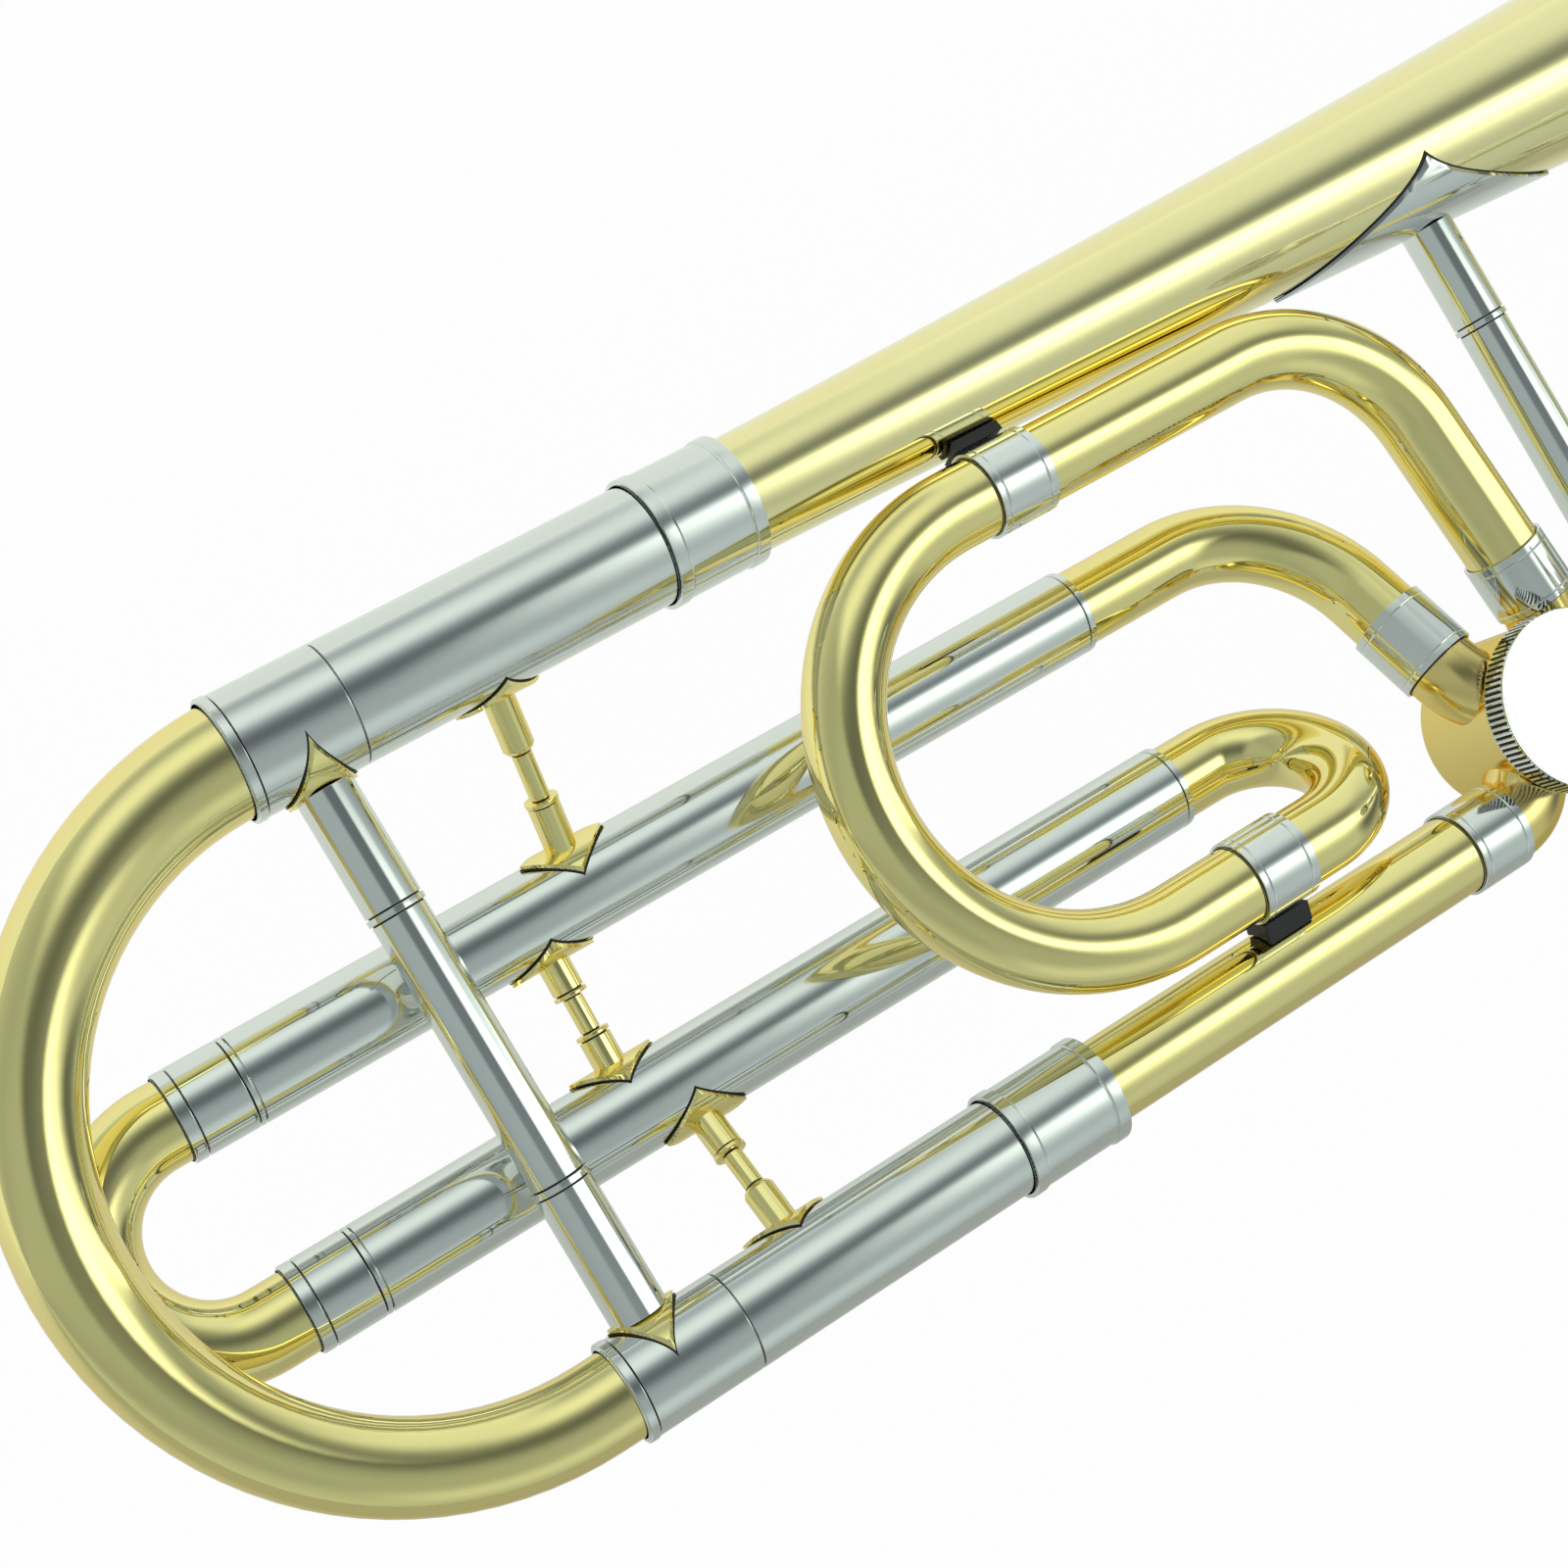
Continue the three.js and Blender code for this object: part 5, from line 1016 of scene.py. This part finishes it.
def dressed(node, name, material, body, bevel=0.0002, angle=30, smooth_angle=32):
    """A merged copy of a CAD piece with its edges eased, to stand in for it"""
    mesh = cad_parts[node].data.copy()
    obj = bpy.data.objects.new(name, mesh)
    bpy.context.collection.objects.link(obj)
    obj.matrix_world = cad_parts[node].matrix_world.copy()
    pick(obj)
    bpy.ops.object.transform_apply(location=True, rotation=True, scale=True)
    bpy.ops.object.mode_set(mode="EDIT")
    bpy.ops.mesh.select_all(action="SELECT")
    bpy.ops.mesh.remove_doubles(threshold=0.000002)
    bpy.ops.mesh.dissolve_limited(angle_limit=math.radians(1))
    bpy.ops.object.mode_set(mode="OBJECT")
    apply_bevel(obj, bevel, angle)
    smooth_skin(obj, smooth_angle)
    return finish(obj, name, material, body, node)


dressed("bell_spacer", "bell_side_spacer", rubber, "bell_section", 0.0004)
dressed("neck_spacer", "neck_side_spacer", rubber, "bell_section", 0.0004)


# Rotary valve: a turned brass casing with four knuckles brazed on its diagonals, closed on top
# by a bearing plate and by a nickel silver cap with a finely ribbed edge.
rose_brass = metal(
    "satin_brass", "gold_brass", (0.93, 0.74, 0.29, 1), (0.90, 0.69, 0.24, 1), 0.15, coat=0.2,
    edge=0.4)
valve_centre = (-0.144, 0.015, 0.0)
casing_radius = 0.0168
casing_bore = 0.0158
casing_top = 0.0119
casing_bottom = -0.0155
casing_floor = 0.002
corner_reach = 0.0183
knuckle_stub = 0.0066
f_knuckle_bend = 0.011
knuckle_wall = 0.0013
casing_edge = 0.0003
cut_overrun = 0.001


def upright(outline):
    """A solid piece turned from an outline of (z, radius), standing on the valve's axis"""
    return lay(turned(outline, hollow=False, bevel=0, sides=96), valve_centre, (0, 0, 1))


def knuckle(corners, bend, radius):
    """A solid bent rod with closed ends, as a knuckle's body or its bore"""
    obj = drawn(corners, bend, radius, steps=12, open_skin=True)
    bpy.ops.mesh.select_all(action="SELECT")
    bpy.ops.mesh.remove_doubles(threshold=0.000001)
    close_ends(obj, 48)
    faces_out()
    return obj


def knuckle_lines():
    """(corners, bend, radius) of the four knuckles, each from its mouth to the valve's middle"""
    step = casing_radius / math.sqrt(2)
    bend = (valve_centre[1] - step) / (1 - 1 / math.sqrt(2))
    end = step + bend / math.sqrt(2)
    lines = []
    for side in (-1, 1):
        mouth = (valve_centre[0] + side * (end + knuckle_stub), 0, 0)
        corner = (valve_centre[0] + side * (end - bend * math.tan(math.pi / 8)), 0, 0)
        lines.append(((mouth, corner, valve_centre), bend, neck_tube_radius))
    for side, branch_joint in ((-1, return_joint), (1, upper_joint)):
        corner = Vector(valve_centre) + corner_reach / math.sqrt(2) * Vector((side, 1, 0))
        out = (Vector(branch_joint) - corner).normalized()
        mouth = Vector(branch_joint) - fit_gap * out
        lines.append(((mouth, corner, valve_centre), f_knuckle_bend, f_tube_radius))
    return lines


barrel = upright([(casing_bottom, casing_radius), (casing_top, casing_radius)])
for corners, bend, radius in knuckle_lines():
    boolean(barrel, knuckle(corners, bend, radius), "UNION")
for corners, bend, radius in knuckle_lines():
    mouth, corner, middle = (Vector(point) for point in corners)
    longer = mouth + (mouth - corner).normalized() * cut_overrun
    bore = knuckle((longer, corner, middle), bend, radius - knuckle_wall)
    boolean(barrel, bore, "DIFFERENCE")
room = upright([
    (casing_bottom + casing_floor, casing_bore), (casing_top + 2 * cut_overrun, casing_bore)])
boolean(barrel, room, "DIFFERENCE")
apply_bevel(barrel, casing_edge, angle=40)
smooth_skin(barrel, 32)
finish(barrel, "valve_casing_body", rose_brass, "bell_section", "valve_casing")

cap_low, cap_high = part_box("valve_cap")
cap_radius = (cap_high[0] - cap_low[0]) / 2
cap_ribs = 180
rib_depth = 0.0003
cap_rise = 0.0006
cap_face = cap_high[2] - cap_rise
cap_lip = 0.0001
chamfer = 0.0005
dome_steps = 12
dome_tip = 0.0002


def ribbed(low, high, radius, ribs, depth):
    """A solid disc along Z whose edge has fine upright ribs, with painted shade in every other
    valley
    """
    sides = 2 * ribs

    def steps_round(point):
        return math.atan2(point.y, point.x) % math.tau / math.tau * sides

    obj = add_ring((0, 0, low), radius - depth, (0, 0, 1), sides=sides)
    for z in (low + chamfer, high - chamfer, high):
        here = max(vertex.co.z for vertex in bmesh.from_edit_mesh(obj.data).verts)
        run_out((0, 0, z - here))
    mesh = bmesh.from_edit_mesh(obj.data)
    mesh.verts.ensure_lookup_table()
    bpy.ops.mesh.select_all(action="DESELECT")
    for vertex in mesh.verts[sides:3 * sides]:
        if round(steps_round(vertex.co)) % 2 == 0:
            vertex.select = True
    mesh.select_flush(False)
    bmesh.update_edit_mesh(obj.data)
    grow = radius / (radius - depth)
    bpy.ops.transform.resize(value=(grow, grow, 1), center_override=(0, 0, 0))
    mesh = bmesh.from_edit_mesh(obj.data)
    # Every other valley is marked for painted shade.
    mark = mesh.faces.layers.int.new("groove")
    mesh.faces.ensure_lookup_table()
    for face in mesh.faces[sides:2 * sides]:
        if int(steps_round(face.calc_center_median())) % 4 < 2:
            face[mark] = 1
    bmesh.update_edit_mesh(obj.data)
    close_ends(obj, sides)
    faces_out()
    return obj


cap = ribbed(cap_low[2], cap_face, cap_radius, cap_ribs, rib_depth)
lay(cap, valve_centre)
dome_edge = cap_radius - 2 * rib_depth
dome_outline = [(cap_face - chamfer, dome_edge), (cap_face + cap_lip, dome_edge)] + [
    (cap_face + cap_rise - (cap_rise - cap_lip) * (1 - n / dome_steps) ** 2,
     max(dome_edge * (1 - n / dome_steps), dome_tip))
    for n in range(1, dome_steps + 1)]
boolean(cap, upright(dome_outline), "UNION")
room = upright([
    (cap_low[2] - cut_overrun, casing_radius + fit_gap),
    (casing_top + fit_gap, casing_radius + fit_gap)])
boolean(cap, room, "DIFFERENCE")
bpy.ops.object.shade_smooth_by_angle(angle=math.radians(24))
finish(cap, "valve_cap_piece", nickel, "bell_section", "valve_cap")

spring_steel = metal(
    "blued_steel", "steel", (0.46, 0.48, 0.50, 1), (0.38, 0.40, 0.42, 1), 0.28)
dressed("valve_bearing_plate", "valve_top_plate", rose_brass, "bell_section")
dressed("rotor", "valve_rotor_body", rose_brass, "valve_rotor", 0.00015, smooth_angle=40)
dressed("stop_plate", "valve_stop_plate", rose_brass, "bell_section", 0.0003)
dressed("stop_arm", "valve_stop_arm", spring_steel, "valve_rotor", 0.0003)


# Thumb linkage: a steel link from the rotor's arm to a cranked lever with an oval paddle. The
# lever turns on a screw in a cast bracket soldered under the gooseneck.
dressed("link_rod", "thumb_link", spring_steel, "link", 0.0002)
dressed("thumb_lever", "thumb_lever_piece", spring_steel, "lever", 0.0004)
dressed("lever_bracket", "thumb_bracket", rose_brass, "bell_section", 0.0004)


# Bell braces: nickel silver rods from a saddle on the neck line to the bell, each end in a long
# ringed socket. At the bell the socket meets a large four-pointed plate, dressed to the bell's
# own curve.
plate_cover = 0.0008
seam_cover = 0.0003
seam_margin = 0.0002
bell_plate_wrap = 0.985
bell_plate_bulge = 0.12
blank_depth = 0.11
shell_steps = 12


def bell_plate_on(node, name, x, half_length):
    """A broad cut plate over the bell's inner side, on its dark line of solder and painted shade
    """
    layers = []
    for cover, wider in ((plate_cover, 0), (seam_cover, seam_margin)):
        length = half_length + wider
        reach = (x - length - plate_overrun, x + length + plate_overrun, shell_steps)
        lining = bell_stations(*reach, plate_gap)[::-1]
        shell = turned(bell_stations(*reach, cover) + lining, bevel=0, sides=96)
        half_width = bell_radius(x) * bell_plate_wrap + wider / 3
        blank = cut_plate(length, half_width, blank_depth, bell_plate_bulge)
        blank.matrix_world = Matrix.Translation((x, 0, 0)) @ Matrix.Rotation(math.pi, 4, "X")
        layers.append(boolean(shell, blank, "INTERSECT"))
    plate, seam = layers
    joined(plate, solder_and_shade_seam(seam))
    smooth_skin(plate, 35)
    lay(plate, (0, *bell_line))
    return finish(plate, name, nickel, "bell_section", node)


bell_plate_on("rear_brace_bell_flange", "rear_bell_plate", -0.1152, 0.0362)
bell_plate_on("front_brace_bell_flange", "front_bell_plate", -0.024, 0.030)


foot_share = 0.75
top_cut = 0.0016
neck_seat_length = 0.010
neck_seat_wrap = 0.9


def bell_brace(node, name, neck_x, bell_x, neck_radius):
    """A brace like the tuning slide's, from a saddle on the neck line to the bell's plate"""
    foot = Vector((neck_x, *neck_line))
    run = Vector((bell_x, *bell_line)) - foot
    rod = brace_between(
        neck_radius + fit_gap, run.length - bell_radius(bell_x) - seam_margin,
        brace_socket_length * foot_share, brace_socket_length - top_cut)
    lay(rod, foot, run)
    seat = saddle(neck_x, neck_line, neck_radius, neck_seat_length, neck_seat_wrap, (1, 0))
    joined(rod, seat)
    return finish(rod, name, nickel, "bell_section", node)


bell_brace("rear_brace", "rear_bell_brace", -0.1085, -0.1126, 0.009)
bell_brace("front_brace", "front_bell_brace", -0.024, -0.024, 0.0114)


# Gooseneck and slide receiver: a brass tube that narrows from the valve to the receiver, a
# turned nickel silver socket for the hand slide. A ribbed nut locks the slide on its thread.
gooseneck_band = 0.0018
gooseneck_ferrule = 0.0123
gooseneck_step = 0.0063
gooseneck_end_radius = 0.0074
gooseneck_socket = neck_tube_radius + fit_gap / 2
start, end, line, reach = line_of("gooseneck")
ferrule_radius = reach - band_height
ferrule_end = start + gooseneck_ferrule
step = start + gooseneck_step
gooseneck = turned(
    [(start, gooseneck_socket)] + band(start, ferrule_radius, 1, gooseneck_band)
    + band(ferrule_end, ferrule_radius, -1, gooseneck_band)[::-1]
    + [(ferrule_end, neck_tube_radius - 0.00003), (end, gooseneck_end_radius),
       (end, gooseneck_end_radius - tube_wall), (step, neck_tube_radius - tube_wall),
       (step, gooseneck_socket)], line)
finish(gooseneck, "gooseneck_tube", tube_brass, "bell_section", "gooseneck")

start, end, line, reach = line_of("slide_receiver")
receiver_radius = 0.0114
receiver_throat = 0.008
receiver_lip = 0.0096
receiver_groove = start + 0.006
receiver_seat = start + 0.0083
thread_start = end - 0.011
thread_turns = 9
thread_pitch = 0.0011
thread_depth = 0.0005
thread = []
for count in range(thread_turns):
    root = thread_start + count * thread_pitch
    thread += [(root, reach - thread_depth), (root + thread_pitch / 2, reach)]
receiver = turned(
    [(start, receiver_throat), (start, receiver_lip), (start + 0.001, 0.01),
     (start + 0.005, receiver_radius), (receiver_groove, receiver_radius),
     (receiver_groove, receiver_radius - groove_depth),
     (receiver_groove + line_width, receiver_radius - groove_depth),
     (receiver_groove + line_width, receiver_radius),
     (thread_start - thread_depth, receiver_radius)] + thread
    + [(end, reach - 0.0003), (end, 0.0104), (receiver_seat, 0.0098),
       (receiver_seat, receiver_throat)], line, bevel=0.00008)
finish(receiver, "slide_receiver_piece", nickel, "bell_section", "slide_receiver")
dressed("lock_nut", "slide_lock_nut", nickel, "nut", 0.00025, smooth_angle=20)


# Hand slide, inner part: the tenon and the mouthpiece receiver end in cork barrels, a brace
# joins them, and two chromed inner tubes run out with thicker stockings at their far ends.
chrome = metal(
    "hard_chrome", "chromed_tube", (0.86, 0.88, 0.90, 1), (0.82, 0.85, 0.88, 1), 0.06)
dressed("slide_tenon", "lower_cork_barrel", nickel, "bell_section", 0.0003)
dressed("mouthpiece_receiver", "upper_cork_barrel", nickel, "bell_section", 0.0003)
dressed("inner_brace", "inner_slide_brace", nickel, "bell_section", 0.0003)
stocking_length = 0.12
stocking_step = 0.0001
stocking_taper = 0.0005
slide_bore = 0.00695
for side in ("lower", "upper"):
    start, end, line, reach = line_of(f"{side}_inner_tube")
    plain = reach - stocking_step
    stocking = end - stocking_length
    inner = turned(
        [(start, slide_bore), (start, plain), (stocking, plain),
         (stocking + stocking_taper, reach), (end, reach), (end, slide_bore)], line)
    finish(inner, f"{side}_inner_slide", chrome, "bell_section", f"{side}_inner_tube")


# Hand slide, outer part: two thin brass tubes with a brace for the right hand, joined at the
# far end by a bow that carries a rubber bumper and a sprung water key.
slide_wall = 0.0004
for side in ("lower", "upper"):
    sleeve_of(
        f"{side}_outer_tube", f"{side}_outer_slide", tube_brass, "outer_slide", slide_wall)
dressed("outer_brace", "outer_slide_brace", nickel, "outer_slide", 0.0003)
dressed("end_bow", "slide_end_bow", tube_brass, "outer_slide", 0.0002)
dressed("bumper", "bow_bumper", rubber, "outer_slide", 0.0004)
dressed("water_key", "water_key_lever", tube_brass, "key", 0.0003)
dressed("slide_lock_ring", "slide_lock_ring_piece", nickel, "lock_ring", 0.0003)


# Mouthpiece: turned from brass bar in one piece and plated with silver, with a rounded rim, a
# bowl-shaped cup and a tapered shank that wedges in the receiver.
silver = metal(
    "silver_plating", "silver_plate", (0.93, 0.92, 0.89, 1), (0.90, 0.88, 0.84, 1), 0.07)
dressed("mouthpiece", "mouthpiece_cup_and_shank", silver, "mouthpiece_body", 0.0006, angle=20)
